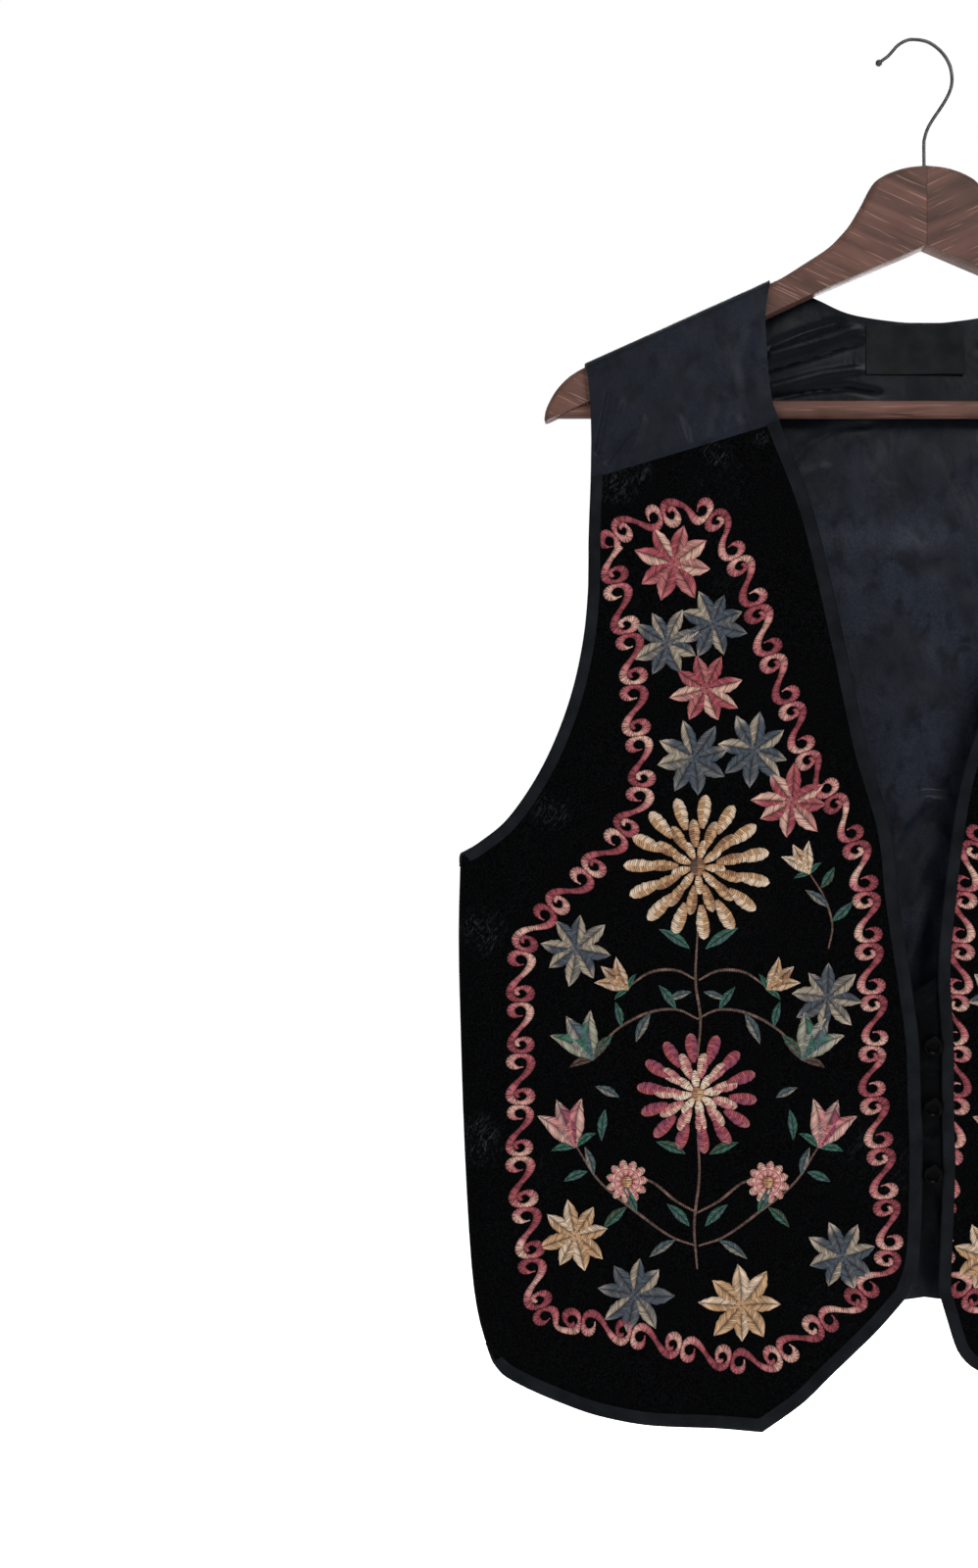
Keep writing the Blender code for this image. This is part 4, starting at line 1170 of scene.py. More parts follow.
def tucked(points, heights, pattern):
    """Slides stitches that reach past the cloth's edge back to it, and sinks them under the tape."""
    points, heights = points.copy(), heights.copy()
    front_edge = pattern.edge[FRONT_COLUMNS:]
    for line, width, way in (
        (front_edge, pattern.binding_width, 1.0),
        (pattern.armhole[::-1], ARMHOLE_BINDING_WIDTH, -1.0),
    ):
        rising = line[np.argsort(line[:, 1])]
        edge = np.interp(points[:, 1], rising[:, 1], rising[:, 0])
        beside = (points[:, 1] > rising[0, 1] - 6.0) & (points[:, 1] < rising[-1, 1])
        inside = (points[:, 0] - edge) * way
        under = beside & (inside < width + 0.1)
        heights[under] = np.minimum(heights[under], TUCKED_HEIGHT)
        past = beside & (inside < TUCKED_REACH)
        points[past, 0] = edge[past] + way * TUCKED_REACH
    return points, heights


class Stitching:
    """Gathers raised patches of satin stitch and lays them on a front as one mesh."""

    def __init__(self):
        self.places, self.heights, self.uvs, self.colours, self.faces = [], [], [], [], []
        self.count = 0

    def patch(self, grid, height, uv, colour):
        """One closed patch: a crowned top over a grid [row, column], and a flat underside."""
        rows, columns, _ = grid.shape
        top = grid_quads(rows, columns, self.count)
        left = self.count + np.arange(rows) * columns
        right = left + columns - 1
        under = np.stack([left[1:], right[1:], right[:-1], left[:-1]], axis=1)
        first = self.count + np.arange(columns)
        last = first + (rows - 1) * columns
        self.faces += top.tolist() + under.tolist() + [first[::-1].tolist(), last.tolist()]
        self.places.append(grid.reshape(-1, 2))
        self.heights.append(np.asarray(height, float).ravel())
        self.uvs.append(uv.reshape(-1, 2))
        self.colours.append(colour.reshape(-1, 3))
        self.count += rows * columns

    def lay(self, name, side, cloth, pattern):
        points = np.concatenate(self.places) * (-1.0, 1.0)
        if side > 0:
            points[:, 0] -= RIGHT_STITCH_SHIFT
        points, heights = tucked(points, np.concatenate(self.heights), pattern)
        verts = cloth.places(sided(points, side), heights)
        uv, colours = np.concatenate(self.uvs), np.concatenate(self.colours)
        obj = piece_from(name, verts, self.faces, [THREAD], uv, colours, angle=70)
        return finish_piece(obj, "embroidery")


def ribbon(stitching, line, half_width, colour, thickness=0.85, cells=6):
    """A satin-stitched line: its stitches lie across it."""
    line = np.asarray(line, float)
    left = left_of(unit_rows(np.gradient(line, axis=0)))
    across = np.linspace(-1.0, 1.0, cells + 1)
    half_width = np.broadcast_to(half_width, len(line))
    v = half_width[:, None] * across
    grid = line[:, None] + left[:, None] * v[..., None]
    crown = thickness * np.minimum(1.0, half_width / 1.6)
    height = CLOTH_SINK + (crown[:, None] - CLOTH_SINK) * (1 - np.abs(across) ** 2.6)
    u = lengths_along(line)[:, None] + 0.15 * half_width[:, None] * across
    shades = np.broadcast_to(np.asarray(colour, float)[:, None], (len(line), cells + 1, 3))
    # Painted shade: the colour darkens towards both edges, where the stitches turn down into the cloth
    painted_edge_shade = 1 - 0.82 * np.abs(across) ** 2.4
    stitching.patch(grid, height, np.stack([u, v], axis=-1), shades * painted_edge_shade[None, :, None])


# Half widths of a petal or leaf from its base to its tip, as (share of length, share of width)
PETAL = [
    (0, 0.30), (0.12, 0.52), (0.28, 0.80), (0.44, 0.98), (0.58, 1.0), (0.72, 0.84), (0.85, 0.52),
    (0.94, 0.22), (1, 0.03),
]
LEAF = [
    (0, 0.08), (0.1, 0.34), (0.3, 0.86), (0.48, 1.0), (0.68, 0.80), (0.86, 0.40), (0.95, 0.16),
    (1, 0.02),
]
RAY = [(0, 0.35), (0.2, 0.70), (0.5, 1.0), (0.75, 0.96), (0.9, 0.70), (0.97, 0.40), (1, 0.12)]
ROUND = [(0, 0.10), (0.07, 0.50), (0.2, 0.80), (0.5, 1.0), (0.8, 0.80), (0.93, 0.50), (1, 0.10)]

# Where the points of a petal lie between its two edges, and how dark a painted shade makes it
# there: in a groove down its middle and towards its edges, and, without the groove, at its edges
PETAL_COLUMNS = np.array([-1.0, -0.86, -0.6, -0.34, -0.1, 0.0, 0.1, 0.34, 0.6, 0.86, 1.0])
GROOVE_PLACES = [0, 0.1, 0.34, 0.6, 0.86, 1]
PAINTED_GROOVE_SHADE = [0.2, 0.6, 1, 1, 0.72, 0.14]
PAINTED_PETAL_EDGE_SHADE = [1, 1, 1, 1, 0.7, 0.2]
LONG_PETAL = 11.0


def petal(
    stitching, root, turn, length, width, colours,
    shape=LEAF, bend=0.0, crown=0.9, ribbed=True, slant=0.9,
):
    """A stitched petal from root, turned anticlockwise from up. Its two halves take two colours."""
    side_a, side_b, base, tip = colours
    rows = 20 if length > LONG_PETAL else 13
    p = even(rows)
    t = PETAL_COLUMNS
    half = np.interp(p, *np.array(shape).T) * width / 2
    ragged = 1 + 0.055 * np.sin(np.outer(np.arange(rows) * 2.4 + turn, np.sign(t) + 1.7))
    angle = math.radians(turn) + bend * (p - 0.2)
    way = np.stack([-np.sin(angle), np.cos(angle)], axis=1)
    grown = np.cumsum(way[:-1] * (length / (rows - 1)), axis=0)
    middle = np.asarray(root, float) + np.concatenate([np.zeros((1, 2)), grown])
    v = half[:, None] * t
    grid = middle[:, None] + left_of(way)[:, None] * (v * ragged)[..., None]
    full = crown * np.minimum(1.0, half / 1.5)[:, None]
    lobes = 1 - np.abs(2 * np.abs(t) - 1) ** 2.4 if ribbed else 1 - np.abs(t) ** 2.6
    floor = np.where(np.abs(t) < 0.5, 0.25 * full, CLOTH_SINK) if ribbed else CLOTH_SINK
    height = floor + (full - floor) * lobes
    u = (p * length)[:, None] + slant * np.abs(v)
    shades = blend(side_a, side_b, np.broadcast_to(smoothstep(t * 6 + 0.5), v.shape))
    for end, toward, most in (
        (base, (0.30 - p) / 0.24, 0.8),
        (tip, (p - 0.72 - 0.1 * math.sin(turn)) / 0.2, 0.5),
    ):
        shades = blend(shades, end, smoothstep(toward)[:, None] * most)
    # Painted shade across the petal: in its groove and towards its edges
    painted_petal_shade = np.interp(np.abs(t), GROOVE_PLACES, PAINTED_GROOVE_SHADE if ribbed else PAINTED_PETAL_EDGE_SHADE)
    stitching.patch(grid, height, np.stack([u, v], axis=-1), shades * painted_petal_shade[None, :, None])


def flower(stitching, centre, radius, colours, draw):
    """Eight pointed petals, their halves stitched light and dark."""
    light, dark, base, tip = colours
    turn = draw.uniform(0, 45)
    pairs = [
        (light, dark),
        (dark, light),
        (dark, blend(dark, light, 0.12)),
        (light, blend(light, dark, 0.55)),
        (blend(dark, light, 0.2), dark),
    ]
    for k in range(8):
        length = radius * draw.uniform(0.88, 1.06)
        width = radius * draw.uniform(0.40, 0.50)
        pair = pairs[draw.choice(5, p=[0.26, 0.22, 0.24, 0.14, 0.14])]
        angle = turn + 45 * k + draw.uniform(-6, 6)
        ends = (blend(base, dark, draw.random()), blend(tip, pair[0], draw.random()))
        bend = draw.uniform(-0.3, 0.3)
        petal(stitching, centre, angle, length, width, (*pair, *ends), PETAL, bend)


BORDER = [
    (628, 545), (650, 532), (676, 525), (706, 516), (732, 530), (745, 555), (760, 585), (775, 625),
    (790, 675), (808, 720), (825, 775), (848, 810), (868, 845), (882, 895), (886, 940), (890, 1000),
    (893, 1050), (891, 1100), (897, 1150), (901, 1190), (905, 1235), (908, 1270), (903, 1295),
    (885, 1315), (858, 1340), (825, 1360), (795, 1385), (765, 1392), (720, 1383), (670, 1370),
    (625, 1358), (590, 1350), (565, 1355), (548, 1325), (541, 1280), (535, 1225), (530, 1170),
    (532, 1110), (531, 1050), (531, 1000), (535, 965), (560, 930), (590, 900), (620, 865),
    (648, 830), (656, 790), (650, 740), (647, 700), (642, 656), (630, 600), (622, 558),
]
SCROLL_PITCH = 29.8
SCROLL_LENGTH = 27.0
STROKE_SWING = 17.0
CURL = {"half_spacing": 8.6, "across": 6.0, "along": 3.85}


def scroll_line():
    """One S of the border: (across to the left of its run, along its run) and half widths."""
    a, b, d = CURL["across"], CURL["along"], CURL["half_spacing"]

    def curl(angles, reach, centre):
        turn = np.radians(angles)
        return np.stack([a * reach * np.cos(turn), centre + b * reach * np.sin(turn)], axis=1)

    def widths(angles):
        return 1.30 + 1.60 * np.abs(np.cos(np.radians(angles))) ** 1.3

    share = even(38)
    angles = 70 - 440 * share
    reach = 0.22 + 0.78 * smoothstep(share / 0.62)
    first = curl(angles, reach, d)
    first_widths = widths(angles) * (0.40 + 0.60 * smoothstep(share / 0.45))
    share = even(32)
    angles = 170 + 307 * share
    reach = 1.0 - 0.42 * smoothstep((share - 0.5) / 0.5)
    second = curl(angles, reach, -d)
    second_widths = widths(angles) * (1.0 - 0.66 * smoothstep((share - 0.62) / 0.38))
    k = even(14)[1:-1, None]
    start, end = first[-1], second[0]
    leave = unit(first[-2], start) * STROKE_SWING
    arrive = unit(end, second[1]) * STROKE_SWING
    stroke = (2 * k**3 - 3 * k**2 + 1) * start + (k**3 - 2 * k**2 + k) * leave
    stroke += (-2 * k**3 + 3 * k**2) * end + (k**3 - k**2) * arrive
    middle = np.interp(k[:, 0], [0, 0.5, 1], [first_widths[-1], 1.65, second_widths[0]])
    line = np.vstack([first, stroke, second])
    return line * (1, -1), np.concatenate([first_widths, middle, second_widths])


def stitch_border(stitching, draw, _side):
    """A running border: one S after another round the front, in shades that drift along it."""
    path = from_photo(BORDER + BORDER[:1])
    wrapped = np.vstack([path[-3:-1], path, path[1:3]])
    curve = smooth_curve(wrapped, 10)[20:-20]
    reached = lengths_along(curve)
    total = reached[-1]
    count = round(total / SCROLL_PITCH)
    pitch = total / count
    line, half_widths = scroll_line()
    for i in range(count):
        size = draw.uniform(0.94, 1.05)
        run = (i + 0.5) * pitch + line[:, 1] * pitch / SCROLL_LENGTH
        shift = draw.uniform(-0.6, 0.6)
        place = at_lengths(curve, reached, run % total)
        ahead = at_lengths(curve, reached, (run + 1.5) % total)
        left = left_of(unit_rows(ahead - place))
        laid = place + left * (line[:, 0] * size + shift)[:, None]
        waves = math.tau * lengths_along(laid) / draw.uniform(42, 66)
        tone = 0.5 + 0.5 * np.sin(waves + draw.uniform(0, math.tau))
        shades = blend(ROSE, PINK, smoothstep(tone * 1.2 - 0.2))
        shades = blend(shades, BLUSH, smoothstep((tone - 0.74) / 0.22) * draw.uniform(0.3, 1.0))
        shades = blend(shades, DEEP_ROSE, smoothstep((0.4 - tone) / 0.3) * 0.75)
        ribbon(stitching, laid, half_widths * size, shades)


FLOWER_COLOURS = {
    "rose": (BLUSH, ROSE, DEEP_ROSE, PINK),
    "blue": (STONE, SLATE, NAVY, PALE),
    "gold": (CREAM, GOLD, AMBER, PALE),
}
LOW_FLOWERS = 1200
FLOWERS = [
    ("rose", 688, 573, 42), ("rose", 721, 702, 38), ("rose", 808, 818, 40),
    ("blue", 681, 655, 36), ("blue", 728, 636, 36), ("blue", 708, 773, 40), ("blue", 770, 765, 38),
    ("blue", 588, 968, 38), ("blue", 845, 1018, 36), ("blue", 648, 1322, 40), ("blue", 860, 1283, 38),
    ("gold", 587, 1262, 38), ("gold", 757, 1333, 42),
]


def stitch_flowers(stitching, draw, side):
    for kind, x, y, radius in FLOWERS:
        if side > 0 and y > LOW_FLOWERS:
            kind = {"gold": "blue", "blue": "gold"}[kind]
        centre = from_photo([x, y])
        flower(stitching, centre, radius * PHOTO_STEP, FLOWER_COLOURS[kind], draw)


def blossom(stitching, place, rings, heart, draw):
    """Rings of petals round a knotted heart. Each ring: count, inner, outer, width, colours."""
    centre = from_photo(place)
    for count, inner, outer, width, colours in rings:
        turn = draw.uniform(0, 360 / count)
        for k in range(count):
            angle = turn + 360 * k / count
            way = np.array([-math.sin(math.radians(angle)), math.cos(math.radians(angle))])
            length = (outer - inner) * draw.uniform(0.94, 1.04)
            root, crown = centre + way * inner, 0.8 + outer * 0.004
            petal(stitching, root, angle, length, width, colours, RAY, 0.0, crown, False, 0.3)
    radius, pair = heart
    size = 2 * radius
    petal(stitching, centre - (0, radius), 0, size, size, pair * 2, ROUND, 0.0, 1.7, False, 0.0)


def stem(stitching, points, width, colour):
    line = along(smooth_curve(from_photo(points), 10), even(8 * len(points)))
    share = even(len(line))
    half = width / 2 * (0.7 + 0.3 * np.sin(math.pi * np.clip(share * 1.1, 0, 1)))
    shades = blend(colour, np.asarray(colour) * 1.7, 0.5 + 0.5 * np.sin(share * 17))
    ribbon(stitching, line, half, shades, thickness=0.6, cells=4)


def tulip(stitching, x, y, turn, size, outer, inner, calyx):
    """Three overlapping petals and a small calyx, opening at turn degrees from up."""
    root = from_photo([x, y])
    pale = to_light(outer, 0.4)
    for way, length, width, colours, bend in (
        (0, size, 0.44, (inner, to_light(inner, 0.3), inner, PALE), 0.0),
        (20, size * 0.98, 0.38, (outer, pale, outer, PALE), 0.55),
        (-20, size * 0.98, 0.38, (pale, outer, outer, PALE), -0.55),
        (62, size * 0.5, 0.17, (calyx,) * 4, 0.9),
        (-62, size * 0.5, 0.17, (calyx,) * 4, -0.9),
    ):
        petal(stitching, root, turn + way, length, size * width, colours, bend=bend)


MIDDLE_X = 712
STEMS = [
    [(712, 1296), (709, 1250), (714, 1200), (712, 1150)],
    [(712, 1080), (715, 1040), (710, 1000), (712, 950)],
    [(711, 1272), (684, 1262), (648, 1236), (612, 1206), (588, 1170)],
    [(712, 1238), (690, 1226), (664, 1206), (640, 1206)],
    [(713, 1040), (690, 1030), (660, 1034), (628, 1052), (606, 1078)],
    [(711, 1000), (690, 990), (664, 992), (640, 1008)],
]
LEAVES = [
    (704, 1252, 40, 32, 11, "teal"), (690, 1266, 118, 34, 11, "dusk"), (650, 1238, 22, 34, 12, "teal"),
    (640, 1232, 128, 32, 11, "moss"), (606, 1200, 12, 32, 11, "dusk"), (600, 1196, 108, 26, 10, "teal"),
    (700, 1178, 62, 34, 12, "moss"), (690, 1030, 30, 30, 10, "teal"), (664, 1034, 148, 34, 12, "dusk"),
    (634, 1048, 8, 28, 10, "teal"), (626, 1056, 132, 32, 11, "moss"), (704, 968, 52, 38, 12, "teal"),
    (706, 1012, 104, 26, 9, "dusk"), (618, 1132, 168, 34, 11, "teal"), (632, 1120, 60, 26, 10, "dusk"),
]
LEAF_COLOURS = {
    "teal": (TEAL, blend(TEAL, DUSK, 0.6)),
    "moss": (MOSS, TEAL),
    "dusk": (DUSK, blend(DUSK, STONE, 0.5)),
}
SPRAY = [(846, 968), (850, 944), (842, 916), (826, 890)]
SPRAY_LEAVES = [
    (849, 940, -52, 30, "teal"), (846, 926, 48, 30, "dusk"), (838, 906, -38, 26, "moss"),
]
STEM_WIDTH = 2.3
SPRAY_WIDTH = 1.9

# Blossoms: the rings from the outermost in, then the heart's radius and its two colours
SIDE_BLOSSOM = ([(11, 3.0, 12.5, 5.6, (BLUSH, PINK, ROSE, CREAM))], (3.6, (GOLD, AMBER)))
UPPER_BLOSSOM = (
    [
        (15, 22.0, 42.0, 8.6, (CREAM, GOLD, AMBER, PALE)),
        (13, 11.0, 28.0, 7.2, (GOLD, AMBER, AMBER, CREAM)),
        (9, 4.0, 16.0, 6.0, (CREAM, GOLD, AMBER, PALE)),
    ],
    (5.4, (AMBER, BROWN)),
)
LOWER_BLOSSOM = (
    [
        (14, 18.0, 35.0, 8.0, (MAGENTA, ROSE, DEEP_ROSE, PINK)),
        (11, 9.0, 24.5, 7.4, (PINK, BLUSH, ROSE, CREAM)),
        (8, 3.0, 14.0, 6.0, (CREAM, PALE, BLUSH, PALE)),
    ],
    (4.4, (GOLD, AMBER)),
)
TULIPS = [
    (588, 1172, 22, 30, PINK, MAGENTA, TEAL),
    (606, 1082, 32, 30, TEAL, DUSK, BROWN),
    (642, 1010, 50, 21, GOLD, AMBER, TEAL),
]


def stitch_bouquet(stitching, draw, _side):
    """A symmetrical spray: a gold blossom over a layered rose one, with tulips and leaves."""

    def across(x, way):
        return MIDDLE_X + way * (x - MIDDLE_X)

    for points in STEMS:
        stem(stitching, points, STEM_WIDTH, BROWN)
        if points[-1][0] != MIDDLE_X:
            stem(stitching, [(across(x, -1), y) for x, y in points], STEM_WIDTH, BROWN)
    for x, y, turn, length, width, kind in LEAVES:
        pair = LEAF_COLOURS[kind]
        for way in (1, -1):
            root = from_photo([across(x, way), y])
            size = PHOTO_STEP * draw.uniform(0.94, 1.06)
            colours = (*pair[::way], *pair)
            petal(stitching, root, way * turn, length * size, width * size, colours, bend=way * 0.35)
    for way in (1, -1):
        for x, y, turn, *rest in TULIPS:
            tulip(stitching, across(x, way), y, way * turn, *rest)
        blossom(stitching, [across(640, way), 1206], *SIDE_BLOSSOM, draw)
    blossom(stitching, [MIDDLE_X, 884], *UPPER_BLOSSOM, draw)
    blossom(stitching, [MIDDLE_X, 1116], *LOWER_BLOSSOM, draw)
    stem(stitching, SPRAY, SPRAY_WIDTH, BROWN)
    for x, y, turn, length, kind in SPRAY_LEAVES:
        colours = LEAF_COLOURS[kind] * 2
        petal(stitching, from_photo([x, y]), turn, length * PHOTO_STEP, 6.0, colours, bend=0.3)
    tulip(stitching, 827, 892, 30, 20, CREAM, GOLD, TEAL)


def embroider(side, name, cloth, pattern):
    pieces = []
    for kind, stitch, seed in (
        ("scroll_border", stitch_border, 11),
        ("flowers", stitch_flowers, 23),
        ("bouquet", stitch_bouquet, 37),
    ):
        stitching = Stitching()
        stitch(stitching, np.random.default_rng(seed), side)
        pieces.append(stitching.lay(f"{kind}_{name}", side, cloth, pattern))
    return pieces


# Closing


def set_mode(mode):
    bpy.ops.object.mode_set(mode=mode)


def apply_place():
    bpy.ops.object.transform_apply(location=True, rotation=True, scale=True)


def select_none():
    if bpy.context.object and bpy.context.object.mode != "OBJECT":
        set_mode("OBJECT")
    bpy.ops.object.select_all(action="DESELECT")


def select_parts(kind, parts, test):
    """Selects the faces or edges of the mesh that pass the test, in edit mode."""
    set_mode("EDIT")
    bpy.ops.mesh.select_mode(type=kind)
    bpy.ops.mesh.select_all(action="DESELECT")
    set_mode("OBJECT")
    for part in parts:
        part.select = bool(test(part))
    set_mode("EDIT")


def select_faces(obj, test):
    select_parts("FACE", obj.data.polygons, lambda face: test(face.center, face.normal))


def select_edges(obj, test):
    verts = obj.data.vertices
    select_parts("EDGE", obj.data.edges, lambda edge: test(*(verts[k].co for k in edge.vertices)))


def settle(obj, name, material, smooth=35):
    """Leaves edit mode, moves the object's place into its mesh, and names it."""
    set_mode("OBJECT")
    apply_place()
    obj.name = obj.data.name = name
    obj.data.materials.clear()
    obj.data.materials.append(material)
    bpy.ops.object.shade_smooth_by_angle(angle=math.radians(smooth))
    return obj


def inset_faces(width, sink=None):
    """A ring of this width inside the chosen faces, which then move towards +Y by sink."""
    bpy.ops.mesh.inset(thickness=width * MM)
    if sink is not None:
        bpy.ops.transform.translate(value=(0, sink * MM, 0))


def extrude(depth):
    bpy.ops.mesh.extrude_region_move(TRANSFORM_OT_translate={"value": (0, depth * MM, 0)})


def model_button():
    """A rimmed button on a shank. It is modelled with its foot at the origin and its face at -Y."""
    select_none()
    bpy.ops.mesh.primitive_cylinder_add(
        vertices=48,
        radius=BUTTON_RADIUS * MM,
        depth=BUTTON_THICKNESS * MM,
        location=(0, -(SHANK_LENGTH + BUTTON_THICKNESS / 2) * MM, 0),
        rotation=(math.pi / 2, 0, 0),
    )
    disc = bpy.context.object
    apply_place()
    select_edges(disc, lambda a, b: abs(a.y - b.y) < LEVEL and math.hypot(a.x, a.z) > 0.005)
    bpy.ops.mesh.bevel(offset=BUTTON_EDGE_ROUND * MM, segments=4, affect="EDGES")

    def at_middle(centre):
        return math.hypot(centre.x, centre.z) < 0.001

    select_faces(disc, lambda centre, normal: normal.y < -0.99 and at_middle(centre))
    for width, sink in BUTTON_RINGS:
        inset_faces(width, sink)
    select_faces(disc, lambda centre, normal: normal.y > 0.99 and at_middle(centre))
    inset_faces(BUTTON_FOOT_RIM, BUTTON_FOOT_SINK)
    inset_faces(BUTTON_RADIUS - BUTTON_EDGE_ROUND - BUTTON_FOOT_RIM - SHANK_RADIUS)
    extrude(SHANK_LENGTH - BUTTON_FOOT_SINK)
    return settle(disc, "button", BUTTON_HORN)


def loop_points():
    """A cord's way round the shank, as (x, z) from the shank's middle: out, round and back."""
    bend = SHANK_RADIUS + LOOP_SLACK + LOOP_CORD_RADIUS
    turns = [math.pi / 2 - math.pi * k / 16 for k in range(17)]
    points = [(x, bend) for x in LOOP_ENDS]
    points += [(bend * math.cos(turn), bend * math.sin(turn)) for turn in turns]
    return points + [(x, -bend) for x in LOOP_ENDS[::-1]]


def dress_closing():
    """Each button where its solid stands, and the cord loop that lies round its shank."""
    master = model_button()
    points = loop_points()
    radii = [LOOP_CORD_RADIUS * MM * (1 + 0.08 * math.sin(k * 2.4)) for k in range(len(points))]
    for number in range(1, BUTTON_COUNT + 1):
        low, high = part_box(f"button_{number}")
        foot = np.array([(low[0] + high[0]) / 2, high[1], (low[2] + high[2]) / 2])
        button = master
        if number < BUTTON_COUNT:
            button = new_object("button", master.data.copy())
        button.name = button.data.name = f"button_{number}_rimmed"
        button.data.transform(Matrix.Translation(foot))
        finish_piece(button, "button", f"button_{number}")
        path = [foot + np.array([x, -SHANK_LENGTH / 2, z]) * MM for x, z in points]
        loop = tube(f"loop_{number}_cord", path, radii, 12, BINDING)
        finish_piece(loop, "binding", f"loop_{number}")


# Hanger


def near_line(place, line, side=1):
    point = np.array([[place.x / MM * side, place.z / MM]])
    return nearest_on(point, line)[0][0] < ON_LINE


def model_wood_half(side, name):
    """One arm: its outline drawn on a disc, thickened, its edges rounded and its faces framed."""
    upper = along(smooth_curve(NECK_OUTLINE, 8), even(90))
    end = along(smooth_curve(ARM_END, 6), even(16))
    under = along(ARM_UNDERSIDE, even(34))
    upper = np.vstack([upper, end[1:]])
    outline = np.vstack([upper, under[1:]])
    outline[:, 0] = np.maximum(outline[:, 0], SEAM_GAP) * side
    select_none()
    bpy.ops.mesh.primitive_circle_add(vertices=len(outline), radius=0.1, fill_type="NGON")
    wood = bpy.context.object
    for vert, (x, z) in zip(wood.data.vertices, outline):
        vert.co = (x * MM, -WOOD_HALF_THICKNESS * MM, z * MM)
    set_mode("EDIT")
    bpy.ops.mesh.select_all(action="SELECT")
    extrude(2 * WOOD_HALF_THICKNESS)
    bpy.ops.mesh.select_all(action="SELECT")
    bpy.ops.mesh.normals_make_consistent(inside=False)
    upper[:, 0] *= side

    def flat_pair(a, b):
        inner = abs(a.x) < 2 * SEAM_GAP * MM and abs(b.x) < 2 * SEAM_GAP * MM
        return abs(a.y - b.y) < LEVEL and not inner

    def top_pair(a, b):
        return flat_pair(a, b) and near_line(a, upper) and near_line(b, upper)

    def low_pair(a, b):
        if not flat_pair(a, b) or abs(abs(a.y) - WOOD_HALF_THICKNESS * MM) >= LEVEL:
            return False
        return all(near_line(v, under, side) and not near_line(v, upper) for v in (a, b))

    def wide_face(centre, normal):
        return abs(normal.y) > 0.999 and abs(centre.y) > (WOOD_HALF_THICKNESS - 0.01) * MM

    for test, offset, segments, clamp in (
        (top_pair, TOP_EDGE_ROUND, 7, False),
        (low_pair, LOWER_EDGE_ROUND, 3, True),
    ):
        select_edges(wood, test)
        bpy.ops.mesh.bevel(offset=offset * MM, segments=segments, affect="EDGES", clamp_overlap=clamp)
    select_faces(wood, wide_face)
    inset_faces(FACE_FRAME)
    settle(wood, f"hanger_arm_{name}", WOOD[side])
    return finish_piece(wood, "wood", f"hanger_half_{name}")


def model_bar():
    """The round trouser bar, its ends cut on a slant under the arms."""
    select_none()
    low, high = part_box("hanger_bar")
    bpy.ops.mesh.primitive_cylinder_add(
        vertices=40,
        radius=BAR_RADIUS * MM,
        depth=BAR_ROUGH_LENGTH * MM,
        location=((low[0] + high[0]) / 2, 0, BAR_Z * MM),
        rotation=(0, math.pi / 2, 0),
        end_fill_type="NGON",
    )
    bar = bpy.context.object
    apply_place()
    tip, knee = ARM_UNDERSIDE[0], ARM_UNDERSIDE[1]
    slope = math.atan2(knee[1] - tip[1], tip[0] - knee[0])
    gap = BAR_GAP * MM
    for side in (-1, 1):
        set_mode("EDIT")
        bpy.ops.mesh.select_all(action="SELECT")
        up = (side * math.sin(slope), 0.0, math.cos(slope))
        under = (side * knee[0] * MM - up[0] * gap, 0.0, knee[1] * MM - up[2] * gap)
        bpy.ops.mesh.bisect(plane_co=under, plane_no=up, use_fill=True, clear_outer=True)
        set_mode("OBJECT")
    settle(bar, "hanger_bar_round", BAR_WOOD)
    return finish_piece(bar, "wood", "hanger_bar")


def model_hook():
    """The bent wire and the small ball on its end."""
    select_none()
    route = smooth_curve(HOOK_LINE, 6)
    bpy.ops.curve.primitive_bezier_curve_add(location=(0, 0, 0))
    wire = bpy.context.object
    wire.data.splines.clear()
    line = wire.data.splines.new("POLY")
    line.points.add(len(route) - 1)
    for point, (x, z) in zip(line.points, route):
        point.co = (x * MM, 0.0, z * MM, 1.0)
    wire.data.bevel_depth = HOOK_WIRE_RADIUS * MM
    wire.data.bevel_resolution = 5
    wire.data.use_fill_caps = True
    bpy.ops.object.convert(target="MESH")
    wire = bpy.context.object
    x, z = (route[-1] + HOOK_BALL_RADIUS * 0.9 * unit(route[-2], route[-1])) * MM
    select_none()
    bpy.ops.mesh.primitive_uv_sphere_add(
        segments=24, ring_count=16, radius=HOOK_BALL_RADIUS * MM, location=(x, 0, z)
    )
    ball = bpy.context.object
    ball.data.materials.clear()
    ball.select_set(True)
    wire.select_set(True)
    bpy.context.view_layer.objects.active = wire
    bpy.ops.object.join()
    settle(wire, "hanger_hook_wire", STEEL, 40)
    return finish_piece(wire, "hook_steel", "hanger_hook")


# Assembling


def declare(flat, with_pieces=()):
    """Turns the size that a cloth piece was cut to from millimetres into metres, and keeps it nowhere.
    """
    flat = (flat[0] * MM, flat[1] * MM)


back, back_cloth = dress_back()
declare(BACK_CUT)
label = dress_label(back_cloth)
declare(LABEL_SIZE)
for side, name in {-1: "left", 1: "right"}.items():
    panel, cloth, pattern = dress_front(side, name)
    yoke = dress_yoke(side, name)
    declare(YOKE_CUT)
    declare(FRONT_CUT, embroider(side, name, cloth, pattern))
    model_wood_half(side, name)
strip = dress_strip()
declare((2 * STRIP_HALF_WIDTH, STRIP_TOP - STRIP_BOTTOM))
dress_closing()
model_bar()
model_hook()


# Stage, light and camera

FLOOR_Z = -1.35
FLOOR_SIZE = 14.0
SEEN_WHITE = 1.0
ROOM_LIGHT = 0.46
LIT_PLACE = (-0.05, 0.0, -0.45)
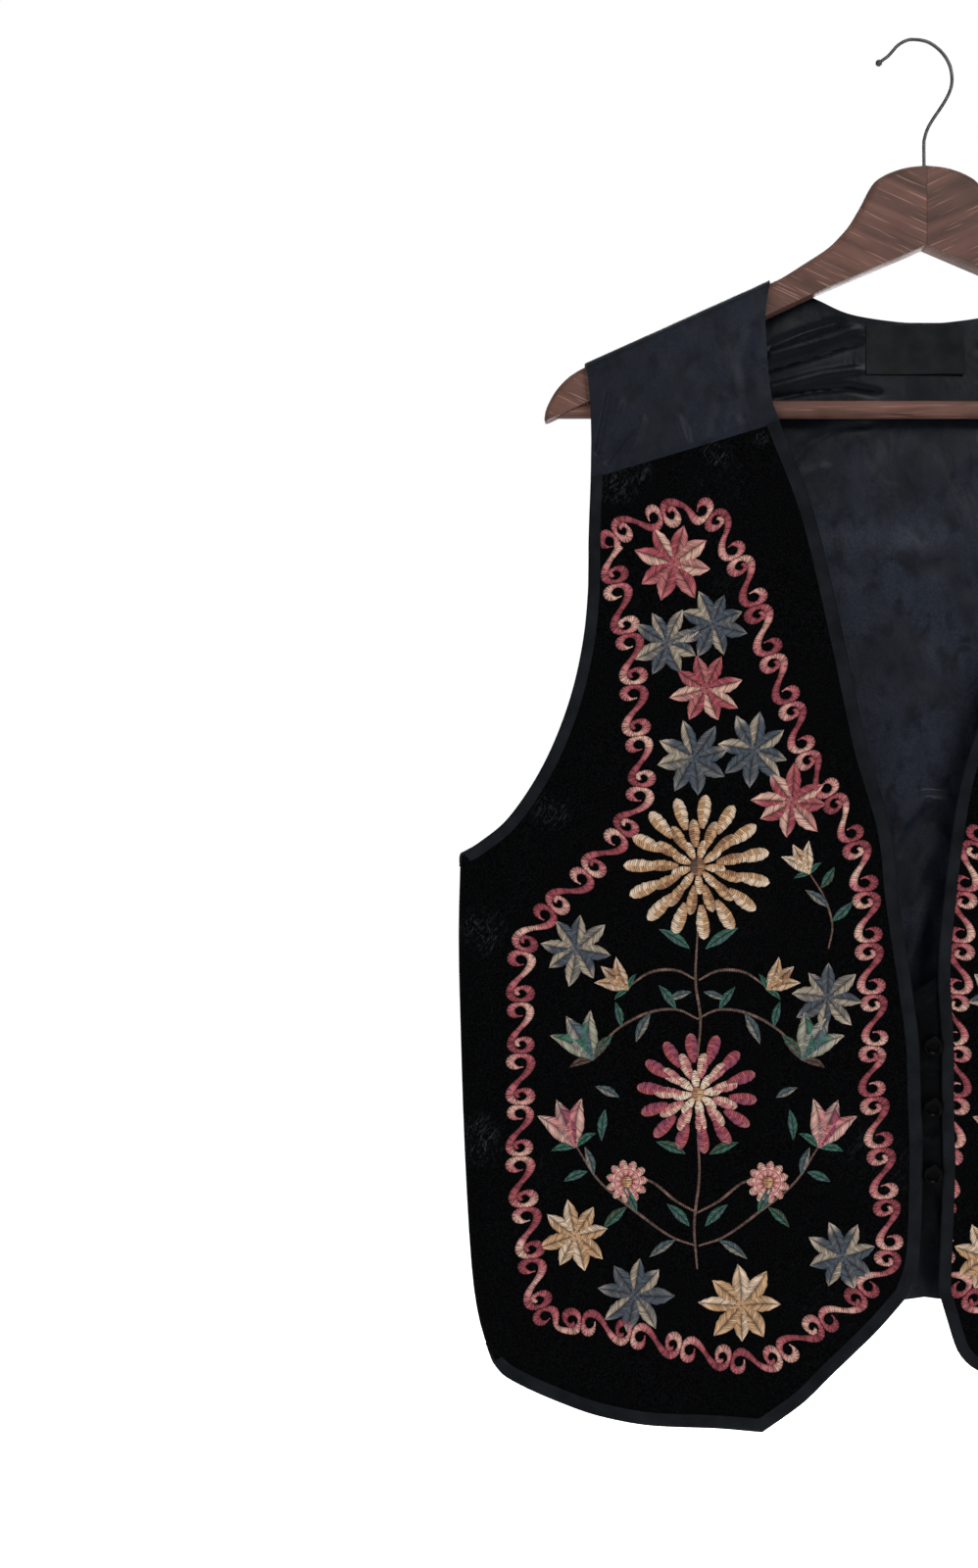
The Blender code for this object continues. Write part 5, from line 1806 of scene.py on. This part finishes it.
# Lamps: name, place, size in metres, watts
LAMPS = [
    ("key", (0.9, -1.9, 0.85), 1.1, 52.0),
    ("fill", (-1.5, -1.8, 0.0), 1.7, 26.0),
    ("top", (0.2, 0.1, 1.5), 1.4, 14.0),
    ("rear", (0.6, 1.8, 0.4), 1.6, 62.0),
]
CAMERA_PLACE = (-0.2535, -1.1, -0.432)
CAMERA_DISTANCE = 1.1
SEEN_HEIGHT = 0.9136
SENSOR = 36.0


def build_stage():
    select_none()
    bpy.ops.mesh.primitive_plane_add(size=FLOOR_SIZE, location=(0, 0, FLOOR_Z))
    floor = bpy.context.object
    floor.name = "floor"
    white = {"Emission_Color": (1, 1, 1, 1), "Emission_Strength": 0.75}
    made, tree, shader = start_material("pale_floor", Roughness=0.9, Specular_IOR_Level=0.1, **white)
    cloudy = noise(tree, object_place(tree), 3.0)
    tint = mixed(tree, cloudy, (0.93, 0.93, 0.93, 1), (0.95, 0.95, 0.95, 1))
    socket(tree, shader["Base Color"], tint)
    floor.data.materials.append(made)


def build_light():
    """A white surround for the camera, a dimmer one that lights, and four area lamps."""
    world = bpy.data.worlds.new("studio")
    bpy.context.scene.world = world
    world.use_nodes = True
    tree = world.node_tree
    tree.nodes.clear()
    seen = add(tree, "ShaderNodeBackground", {"Color": (1, 1, 1, 1), "Strength": SEEN_WHITE})
    room = add(tree, "ShaderNodeBackground", {"Color": (0.98, 0.99, 1.0, 1), "Strength": ROOM_LIGHT})
    path = add(tree, "ShaderNodeLightPath")
    given = {0: path.outputs["Is Camera Ray"], 1: room.outputs[0], 2: seen.outputs[0]}
    mix = add(tree, "ShaderNodeMixShader", given)
    add(tree, "ShaderNodeOutputWorld", {"Surface": mix.outputs[0]})
    for name, place, size, power in LAMPS:
        data = bpy.data.lights.new(name, "AREA")
        data.energy = power
        data.size = size
        light = new_object(name, data)
        light.location = place
        aim = Vector(np.subtract(LIT_PLACE, place))
        light.rotation_euler = aim.to_track_quat("-Z", "Y").to_euler()


def build_camera():
    data = bpy.data.cameras.new("camera")
    data.sensor_width = SENSOR
    data.lens = SENSOR * CAMERA_DISTANCE / SEEN_HEIGHT
    camera = new_object("camera", data)
    camera.location = CAMERA_PLACE
    camera.rotation_euler = (math.pi / 2, 0, 0)
    bpy.context.scene.camera = camera


build_stage()
build_light()
build_camera()
bpy.context.scene.view_settings.view_transform = "Standard"
